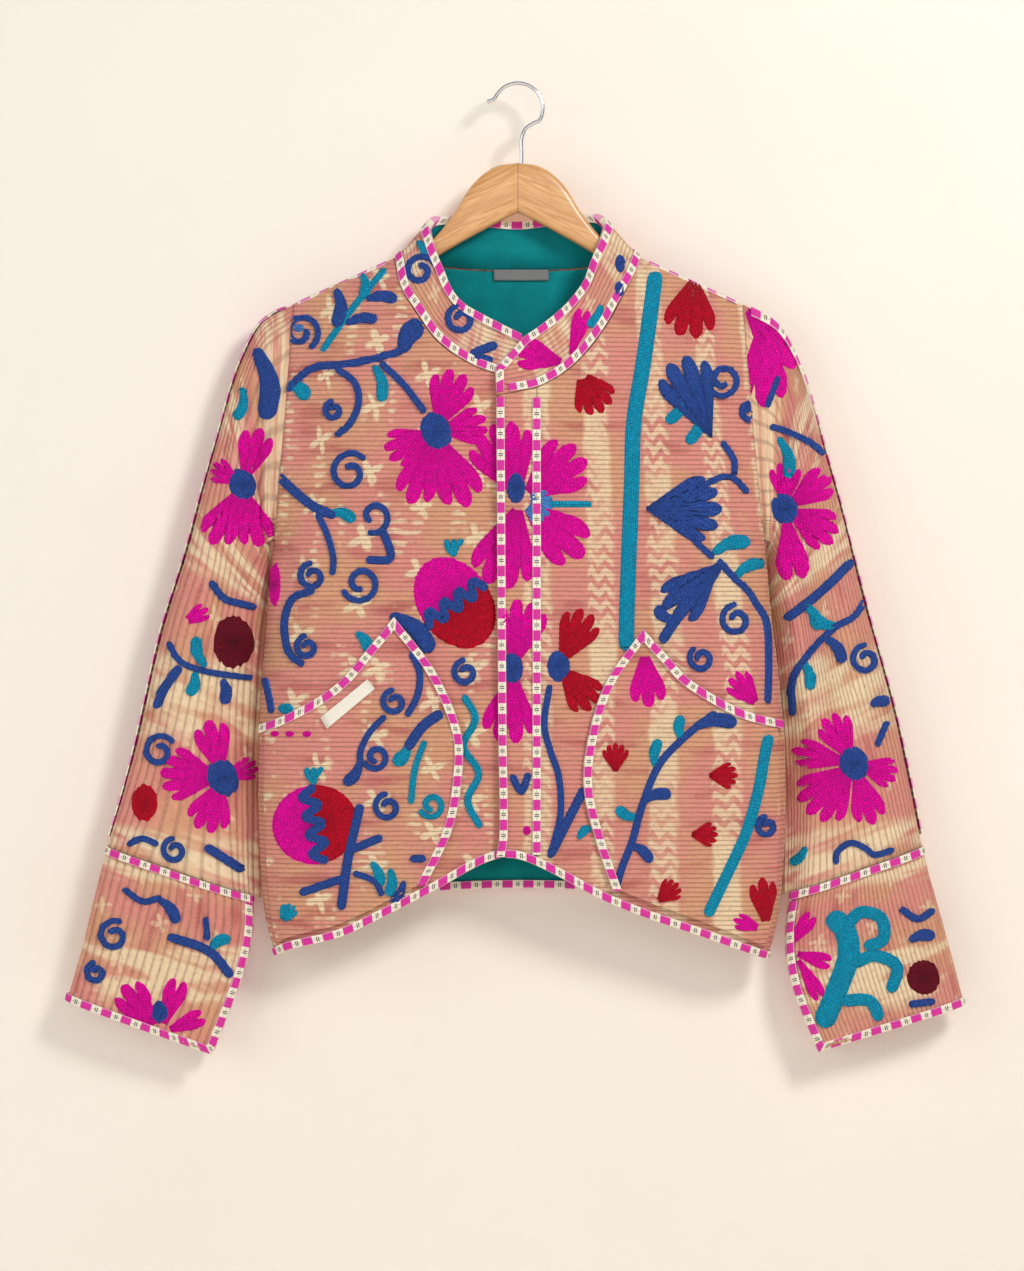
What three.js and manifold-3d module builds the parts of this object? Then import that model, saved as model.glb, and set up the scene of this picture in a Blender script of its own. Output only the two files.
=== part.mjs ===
// A quilted kantha jacket on a wooden hanger, hung by its steel hook.
//
// Millimetres. +Z is up, the fronts face -Y and +X is the wearer's left. The origin is the top of the
// hook's inside, where a peg or rail carries it. Left and right in names are the wearer's.
//
// Each cloth surface is a skin: a function from two parameters to a point on the cloth's inner face.
// Panels are walls that stand out from a skin, and tapes, pockets and labels are built from the same
// skin, moved further out.
import * as THREE from "three";
import Module from "manifold-3d";
import { mergeVertices } from "three/addons/utils/BufferGeometryUtils.js";

// Cloth
const QUILT = 2.2; // quilted wall between its ridges
const RIDGE = 0.6; // how far a quilted ridge stands out
const QUILT_TOP = QUILT + RIDGE;
const LINING = 1;
const GAP = 0.3; // between pieces, also between a piece and what it lies on
const HALF_GAP = GAP / 2;
const TAPE_WIDTH = 7.6;
const TAPE = 1.1; // thickness of the woven tape
const EDGE_INSET = TAPE + 3 * GAP; // a bound edge stops this far inside the tape's fold
const UNDER_ROOM = 2 * GAP; // between cloth and the tape's inner leg
const LABEL = 1;

// Shoulders and neck
const NECK_HALF = 112;
const RIDGE_NECK_Z = -161.5;
const RIDGE_SLOPE = 0.46;
const SHOULDER_Z = -205;
const UNDERARM_Z = -425;
const BACK_NECK_Z = -171;
const SEAM_DROP = 0.003; // keeps front and back a seam's gap apart on the ridge
const RISE = { front: 110, back: 45 }; // how far below the ridge the full depth is reached

// How the sides round off, seen from above
const SIDE_ROUND = 45;
const FLAT_SHARE = 0.6; // share of a section's parameter spent on its flat middle
const CROWN = 0.28;
const ARMHOLE_TURN = THREE.MathUtils.degToRad(52);

// Front overlap
const OVERLAP = 7;
const OVERLAP_END_X = 24;
const OVERLAP_FADE = 90;
const UNDERLAP_X = 12;

const table = (names, rows) => rows.map((row) => Object.fromEntries(names.map((name, k) => [name, row[k]])));

// Body outline from the front (right and left edges) and the depths in front of and behind the ridge.
const BODY = table(
  ["z", "right", "left", "front", "back"],
  [
    [-810, -222, 230, 24, 15],
    [-771, -233, 240, 25, 15],
    [-715, -238, 246, 26, 15],
    [-640, -240, 247, 27, 16],
    [-560, -237, 243, 27, 16],
    [-490, -232, 234, 26, 16],
    [UNDERARM_Z, -226, 228, 26, 16],
    [SHOULDER_Z, -209, 209, 24, 15],
    [-100, -209, 209, 24, 15],
  ],
);

const NECK_RIGHT = table(
  ["x", "z"],
  [
    [-112, -161.5],
    [-108, -187],
    [-97, -208],
    [-76, -238],
    [-45, -260],
    [-19, -270],
    [20, -279],
  ],
);
const NECK_LEFT = table(
  ["x", "z"],
  [
    [-22, -290],
    [3, -286],
    [24, -280],
    [52, -261],
    [78, -230],
    [97, -196],
    [107, -176],
    [112, -161.5],
  ],
);
const HEM_RIGHT = table(
  ["x", "z"],
  [
    [-225, -806],
    [-208, -797],
    [-162, -785],
    [-114, -762],
    [-72, -740],
    [-30, -717],
    [20, -703],
  ],
);
const HEM_LEFT = table(
  ["x", "z"],
  [
    [-22, -712],
    [0, -713],
    [27, -724],
    [75, -750],
    [113, -766],
    [174, -787],
    [233, -809],
  ],
);
const HEM_BACK = table(
  ["x", "z"],
  [
    [-225, -806],
    [-165, -777],
    [-105, -752],
    [-50, -745],
    [50, -745],
    [105, -752],
    [165, -778],
    [233, -809],
  ],
);
const PLACKET_EDGE = table(
  ["z", "x"],
  [
    [-712, -20],
    [-690, -17],
    [-600, -18],
    [-285, -20],
  ],
);
const PLACKET_INNER = table(
  ["z", "x"],
  [
    [-712, 17],
    [-600, 17],
    [-285, 17],
  ],
);

// Sleeve sections from the armhole to the cuff: outer and inner edge, depths and the middle plane's y.
const SLEEVE_NAMES = [
  "outerX", "outerZ", "innerX", "innerZ", "front", "back", "outerY", "innerY", "round", "tuck",
];
const SLEEVE_RIGHT = table(SLEEVE_NAMES, [
  [-209, -204, -222, -420, 15, 13, 0, 0, 26, 0],
  [-236, -220, -232, -425, 12, 12, 4, 2, 26, 0],
  [-254, -254, -231, -436, 12, 11, 5, 9, 26, 0.3],
  [-267, -292, -228, -449, 14, 11, 4, 12, 28, 0.75],
  [-281, -342, -228, -463, 18, 11, 3, 13, 30, 0.85],
  [-294, -388, -229, -480, 20, 11, 2, 13, 32, 0.85],
  [-308, -441, -231, -505, 21, 11, 2, 13, 32, 0.85],
  [-328, -502, -234, -552, 20, 11, 2, 13, 32, 0.85],
  [-345, -575, -237, -618, 19, 11, 2, 12, 32, 0.85],
  [-362, -645, -238, -688, 17, 11, 3, 11, 30, 0.8],
  [-379.5, -704, -238, -753, 15, 11, 4, 8, 26, 0.6],
]);
const SLEEVE_LEFT = table(SLEEVE_NAMES, [
  [209, -204, 224, -420, 15, 13, 0, 0, 26, 0],
  [239, -223, 234, -425, 12, 12, 4, 2, 26, 0],
  [256, -256, 232, -436, 12, 11, 5, 9, 26, 0.3],
  [269, -293, 229, -449, 14, 11, 4, 12, 28, 0.75],
  [282, -338, 229, -463, 18, 11, 3, 13, 30, 0.85],
  [295, -382, 230, -480, 20, 11, 2, 13, 32, 0.85],
  [309, -436, 233, -505, 21, 11, 2, 13, 32, 0.85],
  [325, -498, 238, -552, 20, 11, 2, 13, 32, 0.85],
  [345, -569, 243, -618, 19, 11, 2, 12, 32, 0.85],
  [359, -630, 245, -685, 17, 11, 3, 11, 30, 0.8],
  [374, -704, 245, -750, 15, 11, 4, 8, 26, 0.6],
]);
const CUFF_RIGHT = table(SLEEVE_NAMES, [
  [-379.5, -704, -238, -753, 15, 11, 4, 8, 26, 0.6],
  [-390, -742, -238, -788, 14, 11, 5, 7, 26, 0.5],
  [-402, -791, -249, -832, 13, 10, 5, 5, 25, 0.2],
  [-418, -847, -275, -899, 12, 10, 5, 5, 24, 0],
]);
const CUFF_LEFT = table(SLEEVE_NAMES, [
  [374, -704, 245, -750, 15, 11, 4, 8, 26, 0.6],
  [385, -745, 240, -792, 14, 11, 5, 7, 26, 0.5],
  [397, -789, 246, -836, 13, 10, 5, 5, 25, 0.2],
  [413, -851, 270, -896, 12, 10, 5, 5, 24, 0],
]);

// Collar stations from the right front end round the back to the left front end: where the seam is on
// the neckline, and the top edge.
const COLLAR = table(
  ["seamX", "topX", "topY", "topZ"],
  [
    [11, 4, -27, -233],
    [-19, -12, -26, -225],
    [-45, -35, -23, -213],
    [-66, -51, -20, -203],
    [-84, -62, -18, -189],
    [-98, -69, -18, -171],
    [-107.5, -76, -14, -152],
    [-112, -81, 0, -131],
    [-106, -76, 8, -122],
    [-92, -66, 12, -120],
    [-52, -38, 16, -121],
    [0, 0, 17, -124],
    [52, 36, 16, -120],
    [92, 64, 12, -118],
    [106, 73, 8, -120],
    [112, 79, 0, -128],
    [106.5, 75, -14, -145],
    [97, 68, -17, -162],
    [87, 62, -17, -180],
    [77, 54, -19, -193],
    [65, 44, -21, -205],
    [52, 32, -23, -216],
    [38, 18, -25, -227],
    [22, 5, -26, -236],
    [4, -7, -28, -247],
    [-20, -21, -31, -264],
  ],
);
const RIGHT_SIDE_STATION = 7;
const LEFT_SIDE_STATION = 15;

// Pockets: the top edge, then the inner edge down to the hem, as middle lines of the tape.
const POCKET_RIGHT = {
  side: -1,
  top: [
    [-232, -595],
    [-205, -583],
    [-163, -556],
    [-132, -520],
    [-114, -498],
  ],
  inner: [
    [-114, -498],
    [-79, -543],
    [-57, -592],
    [-54, -630],
    [-63, -684],
    [-88, -737],
  ],
};
const POCKET_LEFT = {
  side: 1,
  top: [
    [238, -591],
    [202, -580],
    [157, -554],
    [134, -530],
    [115, -509],
  ],
  inner: [
    [115, -509],
    [82, -555],
    [66, -607],
    [63, -650],
    [74, -696],
    [90, -742],
  ],
};
const POCKET_SIDE_A = 0.84;
const POCKET_HEM_CLEAR = TAPE_WIDTH + 4;
const POCKET_LOW = QUILT_TOP + 4 * GAP;
const POCKET_TOP = POCKET_LOW + QUILT_TOP;
const POCKET_LABEL = [
  [-180, -584],
  [-174, -594],
  [-131, -557.5],
  [-138, -549],
];
const NECK_LABEL = { x: 3, z: -174, half: 25.5, height: 5, tip: 1.2 };

// Soft folds of the fronts: a trough (negative) or ridge along a line, in the front view.
const FOLD_NAMES = ["x0", "z0", "x1", "z1", "width", "depth"];
const FRONT_FOLDS = table(FOLD_NAMES, [
  [-190, -250, -180, -420, 30, -4],
  [-150, -300, -165, -620, 45, 3],
  [-75, -420, -90, -700, 45, -3],
  [188, -260, 180, -430, 30, -3],
  [150, -330, 160, -640, 45, 3],
  [85, -400, 75, -690, 45, -2.5],
]);
const BACK_FOLDS = table(FOLD_NAMES, [
  [-150, -260, -120, -700, 30, 3],
  [-60, -330, -45, -720, 26, -2],
  [30, -300, 55, -720, 30, 3],
  [110, -330, 100, -690, 26, -2],
  [170, -280, 190, -740, 28, 3],
]);

// Wood and wire
const WOOD = table(
  ["x", "top", "bottom", "half"],
  [
    [0, -72, -118, 7.5],
    [22, -76, -129, 7.5],
    [42, -92, -140, 7.4],
    [58, -117, -149, 7.2],
    [76, -140, -160, 7],
    [96, -154.5, -172, 6.8],
    [112, -162.6, -181, 6.2],
    [150, -179.8, -199, 7],
    [186, -197, -216, 6],
    [195, -202.5, -218, 4.8],
    [199, -206, -216, 3],
  ],
);
const WOOD_ROUND = table(
  ["y", "down"],
  [
    [0, 0],
    [0.5, 1.2],
    [0.86, 4],
    [1, 8],
  ],
);
const WIRE_R = 1.9;
const STEM_X = 3.4;
const SOCKET_Z = -90;
const HOOK_LINE = [
  [STEM_X, SOCKET_Z + GAP],
  [STEM_X, -62],
  [STEM_X, -50],
  [6.5, -41],
  [13.8, -35.5],
  [20, -32.4],
  [22.9, -23.5],
  [22.2, -15],
  [19, -8.1],
  [13.2, -2.3],
  [6.6, 0.9],
  [0, WIRE_R],
  [-7, 0.8],
  [-13.5, -2.5],
  [-19, -8.1],
  [-22.5, -13.2],
  [-28.5, -15.5],
];

const COLOURS = {
  cloth: 0xc99683,
  tape: 0xd83fa6,
  lining: 0x0d8a86,
  wood: 0xd9a566,
  steel: 0xc9c9cc,
  greyLabel: 0x6e706c,
  paleLabel: 0xeee6d6,
};
const material = (name) =>
  new THREE.MeshStandardMaterial({
    color: COLOURS[name],
    roughness: name === "steel" ? 0.25 : name === "wood" ? 0.45 : 0.9,
    metalness: name === "steel" ? 1 : 0,
  });

const vec = (x, y, z) => new THREE.Vector3(x, y, z);
const { lerp, clamp, smoothstep } = THREE.MathUtils;

// Reads a table at a place in its key column, on a smooth curve through its rows.
function read(rows, key, at) {
  const rising = rows[1][key] > rows[0][key] ? 1 : -1;
  let k = 0;
  while (k < rows.length - 2 && (at - rows[k + 1][key]) * rising > 0) k++;
  return blendRows(rows, k, clamp((at - rows[k][key]) / (rows[k + 1][key] - rows[k][key]), 0, 1), key);
}

// Reads a table whose rows are evenly spaced stations, at a share from 0 to 1 of its length.
function readAlong(rows, share) {
  const at = clamp(share, 0, 1) * (rows.length - 1);
  const k = Math.min(Math.floor(at), rows.length - 2);
  return blendRows(rows, k, at - k, null);
}

function blendRows(rows, k, s, key) {
  const a = rows[k];
  const b = rows[k + 1];
  const before = rows[k - 1] ?? a;
  const after = rows[k + 2] ?? b;
  const step = (from, to, count) => (key ? to[key] - from[key] : count) || 1;
  const made = {};
  for (const name of Object.keys(a)) {
    const span = step(a, b, 1);
    const slopeA = ((b[name] - before[name]) / step(before, b, before === a ? 1 : 2)) * span;
    const slopeB = ((after[name] - a[name]) / step(a, after, after === b ? 1 : 2)) * span;
    const s2 = s * s;
    const s3 = s2 * s;
    made[name] =
      a[name] * (2 * s3 - 3 * s2 + 1) + slopeA * (s3 - 2 * s2 + s)
      + b[name] * (3 * s2 - 2 * s3) + slopeB * (s3 - s2);
  }
  return made;
}

const ridgeZ = (x) => RIDGE_NECK_Z - RIDGE_SLOPE * (Math.abs(x) - NECK_HALF);
const rise = (drop, face) => {
  const left = 1 - clamp(drop / RISE[face], 0, 1);
  return Math.sqrt(1 - left * left);
};

// A half section's middle is flat and its ends are quarter ellipses. a runs from -1 to 1.
function lens(a, half, round, turn = Math.PI / 2) {
  const part = Math.abs(a);
  if (part <= FLAT_SHARE) return { along: (a / FLAT_SHARE) * (half - round), deep: 1 };
  const angle = ((part - FLAT_SHARE) / (1 - FLAT_SHARE)) * turn;
  const along = half - round + (round * Math.sin(angle)) / Math.sin(turn);
  return { along: Math.sign(a) * along, deep: Math.cos(angle) };
}

// The lens parameter at a place along the section.
function lensAt(along, half, round, turn = Math.PI / 2) {
  const part = Math.abs(along);
  if (part <= half - round) return (along / (half - round)) * FLAT_SHARE;
  const angle = Math.asin(clamp(((part - half + round) / round) * Math.sin(turn), 0, 1));
  return Math.sign(along) * (FLAT_SHARE + (angle / turn) * (1 - FLAT_SHARE));
}

function foldsAt(folds, x, z) {
  let sum = 0;
  for (const f of folds) {
    const dx = f.x1 - f.x0;
    const dz = f.z1 - f.z0;
    const share = ((x - f.x0) * dx + (z - f.z0) * dz) / (dx * dx + dz * dz);
    const off = Math.abs((x - f.x0) * dz - (z - f.z0) * dx) / Math.hypot(dx, dz) / f.width;
    const fade = smoothstep(share, -0.15, 0.25) * (1 - smoothstep(share, 0.75, 1.15));
    sum += f.depth * Math.exp(-off * off) * fade;
  }
  return sum;
}

// How far the sides turn before they end: less at the armhole, where the sleeve goes on.
function sideTurn(z) {
  const arm = smoothstep(z, UNDERARM_Z - 4, UNDERARM_Z + 32);
  return lerp(Math.PI / 2, ARMHOLE_TURN, arm);
}

function bodyRow(z) {
  const row = read(BODY, "z", z);
  return { ...row, middle: (row.right + row.left) / 2, half: (row.left - row.right) / 2 - QUILT };
}

// The body's skin. face is "front" or "back", a runs from -1 at the right side to 1 at the left side.
function bodySkin(face, a, z, lift = 0) {
  const row = bodyRow(z);
  const at = lens(a, row.half, SIDE_ROUND, sideTurn(z));
  const x = row.middle + at.along;
  const crown = 1 + CROWN * (1 - (at.along / row.half) ** 2);
  const folds = foldsAt(face === "front" ? FRONT_FOLDS : BACK_FOLDS, x, z) * at.deep;
  const up = rise(ridgeZ(x) - z, face);
  const depth = (row[face] * crown + folds) * at.deep * up + lift * Math.min(1, up * 2);
  return vec(x, face === "front" ? -depth : depth, z);
}

const overlapLift = (x) => OVERLAP * (1 - smoothstep(x, OVERLAP_END_X, OVERLAP_END_X + OVERLAP_FADE));
const frontRight = (a, z) => bodySkin("front", a, z);
function frontLeft(a, z) {
  return bodySkin("front", a, z, overlapLift(bodySkin("front", a, z).x));
}
const backSkin = (a, z) => bodySkin("back", a, z);

// The body parameter a at a place x, z of the front view.
function bodyA(x, z) {
  const row = bodyRow(z);
  return lensAt(clamp(x - row.middle, -row.half, row.half), row.half, SIDE_ROUND, sideTurn(z));
}

const neckOrRidge = (x, neck) =>
  Math.min(Math.abs(x) < NECK_HALF ? neck(x) : Infinity, ridgeZ(x) - SEAM_DROP);
const topRight = (x) => neckOrRidge(x, (at) => read(NECK_RIGHT, "x", at).z);
const topLeft = (x) => neckOrRidge(x, (at) => read(NECK_LEFT, "x", at).z);
const backNeck = (x) => BACK_NECK_Z + (RIDGE_NECK_Z - BACK_NECK_Z) * (x / NECK_HALF) ** 2;
const topBack = (x) => neckOrRidge(x, backNeck);

// A sleeve's skin. a runs 0 at the outer edge, 0.5 at the inner edge by way of the front, then back to 1.
// With an armhole its first section is the body's armhole, and it leaves that shape over ARMHOLE_BLEND.
const ARMHOLE_BLEND = 0.3;
function tubeSkin(rows, a, v, hole = null) {
  const row = readAlong(rows, v);
  const round = a - Math.floor(a);
  const front = round <= 0.5;
  const share = front ? round * 4 - 1 : 3 - round * 4; // -1 at the outer edge, 1 at the inner edge
  const dx = row.innerX - row.outerX;
  const dz = row.innerZ - row.outerZ;
  const length = Math.hypot(dx, dz);
  const half = length / 2 - QUILT;
  const at = lens(share, half, row.round);
  const along = 0.5 + at.along / length;
  const crown = 1 + 0.18 * (1 - (at.along / half) ** 2);
  const slim = 1 - row.tuck * smoothstep(along, 0.72, 1);
  const depth = (front ? -row.front * slim : row.back) * at.deep * crown;
  const middle = lerp(row.outerY, row.innerY, along);
  const own = vec(row.outerX + dx * along, middle + depth, row.outerZ + dz * along);
  if (!hole || v >= ARMHOLE_BLEND) return own;
  const start = hole(share, front).sub(tubeSkin(rows, a, 0));
  return own.addScaledVector(start, (1 - v / ARMHOLE_BLEND) ** 2);
}

// The armhole: the edge of the body's skin, a seam's gap out. share is -1 at the shoulder, 1 underarm.
// Low down the sleeve passes inside the hole's rounded foot.
const armholeTop = ridgeZ(bodyRow(SHOULDER_Z).half) - SEAM_DROP;
const armholeZ = (share) => lerp(armholeTop, UNDERARM_Z + 2, 0.5 + Math.sin((share * Math.PI) / 2) / 2);
const armholeLow = (share) => smoothstep(share, 0.1, 0.95);
const armhole = (side) => (share, front) => {
  const hole = bodySkin(front ? "front" : "back", side, armholeZ(share));
  const low = armholeLow(share);
  hole.x += side * GAP;
  hole.y *= 1 - 0.4 * low;
  hole.z += 4 * low;
  return hole;
};
const sleeveRight = (a, v) => tubeSkin(SLEEVE_RIGHT, a, v, armhole(-1));
const sleeveLeft = (a, v) => tubeSkin(SLEEVE_LEFT, a, v, armhole(1));
const cuffRight = (a, v) => tubeSkin(CUFF_RIGHT, a, v);
const cuffLeft = (a, v) => tubeSkin(CUFF_LEFT, a, v);

// The collar's skin. s runs along the stations from 0 to 1, v from the seam at 0 to the top at 1.
function collarSkin(s, v) {
  const row = readAlong(COLLAR, s);
  const station = clamp(s, 0, 1) * (COLLAR.length - 1);
  const back = station > RIGHT_SIDE_STATION && station < LEFT_SIDE_STATION;
  const left = station > (RIGHT_SIDE_STATION + LEFT_SIDE_STATION) / 2;
  const x = clamp(row.seamX, -NECK_HALF, NECK_HALF);
  const z = (back ? topBack : left ? topLeft : topRight)(x);
  const lift = back || !left ? 0 : overlapLift(x);
  const seam = bodySkin(back ? "back" : "front", bodyA(x, z), z, lift);
  return seam.lerp(vec(row.topX, row.topY - lift, row.topZ), v);
}

// The slopes of a skin, its outward normal and its point at a parameter pair.
function touch(skin, atP, atQ, out, [hp, hq], limits) {
  const [p, q] = [clamp(atP, ...limits[0]), clamp(atQ, ...limits[1])];
  const low = (at, h, k) => Math.max(at - h, limits[k][0]);
  const high = (at, h, k) => Math.min(at + h, limits[k][1]);
  const [p0, p1, q0, q1] = [low(p, hp, 0), high(p, hp, 0), low(q, hq, 1), high(q, hq, 1)];
  const alongP = skin(p1, q).sub(skin(p0, q)).divideScalar(p1 - p0);
  const alongQ = skin(p, q1).sub(skin(p, q0)).divideScalar(q1 - q0);
  const normal = alongP.clone().cross(alongQ).multiplyScalar(out).normalize();
  return { point: skin(p, q), alongP, alongQ, normal };
}

// A cloth surface gives its point, slopes and outward normal at a parameter pair.
const FREE = [-Infinity, Infinity];
const UNIT = [0, 1];
const SMALL = 1e-4;
function bodySurface(skin, out) {
  return (a, z) => {
    const drop = ridgeZ(skin(a, z).x) - z;
    return touch(skin, a, z, out, [SMALL, clamp(drop / 2, SMALL, 0.01)], [[-1, 1], FREE]);
  };
}
const tubeSurface = (skin, out) => (a, v) => touch(skin, a, v, out, [SMALL, SMALL], [FREE, UNIT]);
const onFrontRight = bodySurface(frontRight, 1);
const onFrontLeft = bodySurface(frontLeft, 1);
const onBack = bodySurface(backSkin, -1);
const onCuffRight = tubeSurface(cuffRight, -1);
const onCuffLeft = tubeSurface(cuffLeft, 1);

// Where the collar's seam lies on the body: which panel, and the place there.
function collarSeam(s) {
  const station = clamp(s, 0, 1) * (COLLAR.length - 1);
  const back = station > RIGHT_SIDE_STATION && station < LEFT_SIDE_STATION;
  const left = station > (RIGHT_SIDE_STATION + LEFT_SIDE_STATION) / 2;
  const x = clamp(readAlong(COLLAR, s).seamX, -NECK_HALF, NECK_HALF);
  const z = (back ? topBack : left ? topLeft : topRight)(x);
  return { surface: back ? onBack : left ? onFrontLeft : onFrontRight, at: [bodyA(x, z), z] };
}
// Near its seam the collar has the body's normals, so the two edges stand side by side.
function onCollar(s, v) {
  const spot = touch(collarSkin, s, v, -1, [SMALL, SMALL], [UNIT, UNIT]);
  const seam = collarSeam(s);
  spot.normal.lerp(seam.surface(...seam.at).normal, 1 - smoothstep(v, 0, 0.4)).normalize();
  return spot;
}

// A sleeve leaves its armhole with the body's own normals, so the two edges stand side by side.
function sleeveSurface(skin, side) {
  const surface = tubeSurface(skin, side);
  return (a, v) => {
    const spot = surface(a, v);
    if (v > 0) return spot;
    const round = a - Math.floor(a);
    const front = round <= 0.5;
    const share = front ? round * 4 - 1 : 3 - round * 4;
    const body = (front ? onFrontRight : onBack)(side, armholeZ(share)).normal;
    const down = vec(0, (front ? -1 : 1) * Math.sqrt(1 - Math.max(share, 0)), -1);
    spot.normal = body.lerp(down.normalize(), armholeLow(share)).normalize();
    return spot;
  };
}
const onSleeveRight = sleeveSurface(sleeveRight, -1);
const onSleeveLeft = sleeveSurface(sleeveLeft, 1);

// Moves over a surface from a parameter pair, by a distance along a direction in space.
const WALK_STEPS = 5;
function walk(surface, from, direction, distance) {
  let [p, q] = from;
  for (let k = 0; k < WALK_STEPS; k++) {
    const { alongP: u, alongQ: w } = surface(p, q);
    const [uu, uw, ww] = [u.dot(u), u.dot(w), w.dot(w)];
    const [du, dw] = [direction.dot(u), direction.dot(w)];
    const det = uu * ww - uw * uw;
    const a = (du * ww - dw * uw) / det;
    const b = (dw * uu - du * uw) / det;
    const length = u.clone().multiplyScalar(a).addScaledVector(w, b).length();
    p += (a / length) * (distance / WALK_STEPS);
    q += (b / length) * (distance / WALK_STEPS);
  }
  return [p, q];
}

function solid(points, faces) {
  const made = new THREE.BufferGeometry();
  made.setAttribute("position", new THREE.Float32BufferAttribute(points.flatMap((p) => [p.x, p.y, p.z]), 3));
  let volume = 0;
  for (const [a, b, c] of faces) volume += points[a].dot(points[b].clone().cross(points[c]));
  made.setIndex(faces.flatMap(([a, b, c]) => (volume > 0 ? [a, b, c] : [a, c, b])));
  return made;
}

// A wall that stands out from a surface. place(i, j) gives the parameter pair, ridge(i, j) how far a
// point stands out more. The plain inside takes every rowStep-th row and columnStep-th column.
const PLAIN_WALL = { thick: QUILT, lift: 0, ridge: () => 0, rowStep: 1, columnStep: 1 };
function wall(surface, rows, columns, place, options = {}) {
  const { thick, lift, ridge, rowStep, columnStep } = { ...PLAIN_WALL, ...options };
  const points = [];
  const faces = [];
  const grid = (rowJump, columnJump, height) => {
    const ids = [];
    for (let i = 0; i <= rows; i += rowJump) {
      ids.push([]);
      for (let j = 0; j <= columns; j += columnJump) {
        const { point, normal } = surface(...place(i, j));
        points.push(point.addScaledVector(normal, height(i, j)));
        ids.at(-1).push(points.length - 1);
      }
    }
    return ids;
  };
  const outer = grid(1, 1, (i, j) => lift + thick + ridge(i, j));
  const inner = grid(rowStep, columnStep, () => lift);
  const skinFaces = (ids, flip) => {
    for (let i = 0; i < ids.length - 1; i++)
      for (let j = 0; j < ids[0].length - 1; j++) {
        const [a, b, c, d] = [ids[i][j], ids[i][j + 1], ids[i + 1][j + 1], ids[i + 1][j]];
        faces.push(...(flip ? [[a, c, b], [a, d, c]] : [[a, b, c], [a, c, d]]));
      }
  };
  skinFaces(outer, false);
  skinFaces(inner, true);
  const edges = (ids) => [
    ids[0],
    ids.map((row) => row.at(-1)),
    [...ids.at(-1)].reverse(),
    ids.map((row) => row[0]).reverse(),
  ];
  const [outerEdges, innerEdges] = [edges(outer), edges(inner)];
  outerEdges.forEach((line, k) => zip(faces, line, innerEdges[k]));
  return solid(points, faces);
}

// Closes the side between an outer edge and an inner edge with as many points, or half as many.
function zip(faces, outer, inner) {
  const jump = (outer.length - 1) / (inner.length - 1);
  for (let k = 0; k < inner.length - 1; k++) {
    const turn = k * jump + Math.ceil(jump / 2);
    for (let m = k * jump; m < (k + 1) * jump; m++) {
      faces.push([outer[m + 1], outer[m], inner[m < turn ? k : k + 1]]);
    }
    faces.push([outer[turn], inner[k], inner[k + 1]]);
  }
}

// A closed bar through rings that all have the section's points.
function bar(rings, section) {
  const points = rings.flat();
  const count = section.length;
  const faces = [];
  for (let i = 0; i < rings.length - 1; i++)
    for (let j = 0; j < count; j++) {
      const next = (j + 1) % count;
      const [a, b, c, d] = [i * count + j, i * count + next, (i + 1) * count + next, (i + 1) * count + j];
      faces.push([a, b, c], [a, c, d]);
    }
  const last = (rings.length - 1) * count;
  const clockwise = THREE.ShapeUtils.isClockWise(section);
  for (const [a, b, c] of THREE.ShapeUtils.triangulateShape(section, [])) {
    faces.push(clockwise ? [a, b, c] : [a, c, b]);
    faces.push(clockwise ? [last + a, last + c, last + b] : [last + a, last + b, last + c]);
  }
  return solid(points, faces);
}

// A tape on a surface, along a path of parameter pairs, mitred at its corners. The section's x runs
// across the tape to the right of the way it goes, and its y is the height above the surface. Away from
// corners a ring keeps to the surface's own row or column, as the panel under it does.
function tape(surface, path, section, least = 0.8) {
  const spots = path.map((at) => surface(...at));
  const rings = path.map((at, k) => {
    const { point, normal, alongP, alongQ } = spots[k];
    const into = point.clone().sub(spots[Math.max(k - 1, 0)].point);
    const from = spots[Math.min(k + 1, path.length - 1)].point.clone().sub(point);
    const sides = [into, from].filter((way) => way.length() > 0).map((way) => way.cross(normal).normalize());
    const square = sides[0].clone().add(sides.at(-1)).normalize();
    const ways = [alongP, alongQ].map((way) => way.clone().normalize());
    const own = ways.find((way) => Math.abs(way.dot(square)) > least);
    const corner = square.dot(sides[0]);
    const across = own && corner > 0.93 ? own.multiplyScalar(Math.sign(own.dot(square))) : square;
    const mitre = 1 / Math.max(corner > 0.93 ? across.dot(square) : corner, 0.5);
    const outline = typeof section === "function" ? section(k / (path.length - 1), point) : section;
    return outline.map(({ x, y }) => {
      const way = across.clone().multiplyScalar(Math.sign(x));
      const there = Math.abs(x) < 1e-6 ? at : walk(surface, at, way, Math.abs(x) * mitre);
      const spot = surface(...there);
      return spot.point.addScaledVector(spot.normal, y);
    });
  });
  return bar(rings, typeof section === "function" ? section(0, spots[0].point) : section);
}

const outline = (pairs) => pairs.map(([x, y]) => new THREE.Vector2(x, y));
// Lies flat, its foot at a height. Both faces have so many steps.
function flatSection(foot = QUILT_TOP + GAP, steps = 1) {
  const side = TAPE_WIDTH / 2;
  const top = foot + TAPE;
  const flat = side - 0.8;
  return outline([
    ...range(steps, (share) => [lerp(-side, side, share), foot]),
    [side, top - 0.3],
    ...range(steps, (share) => [lerp(flat, -flat, share), top]),
    [-side, top - 0.3],
  ]);
}
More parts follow.
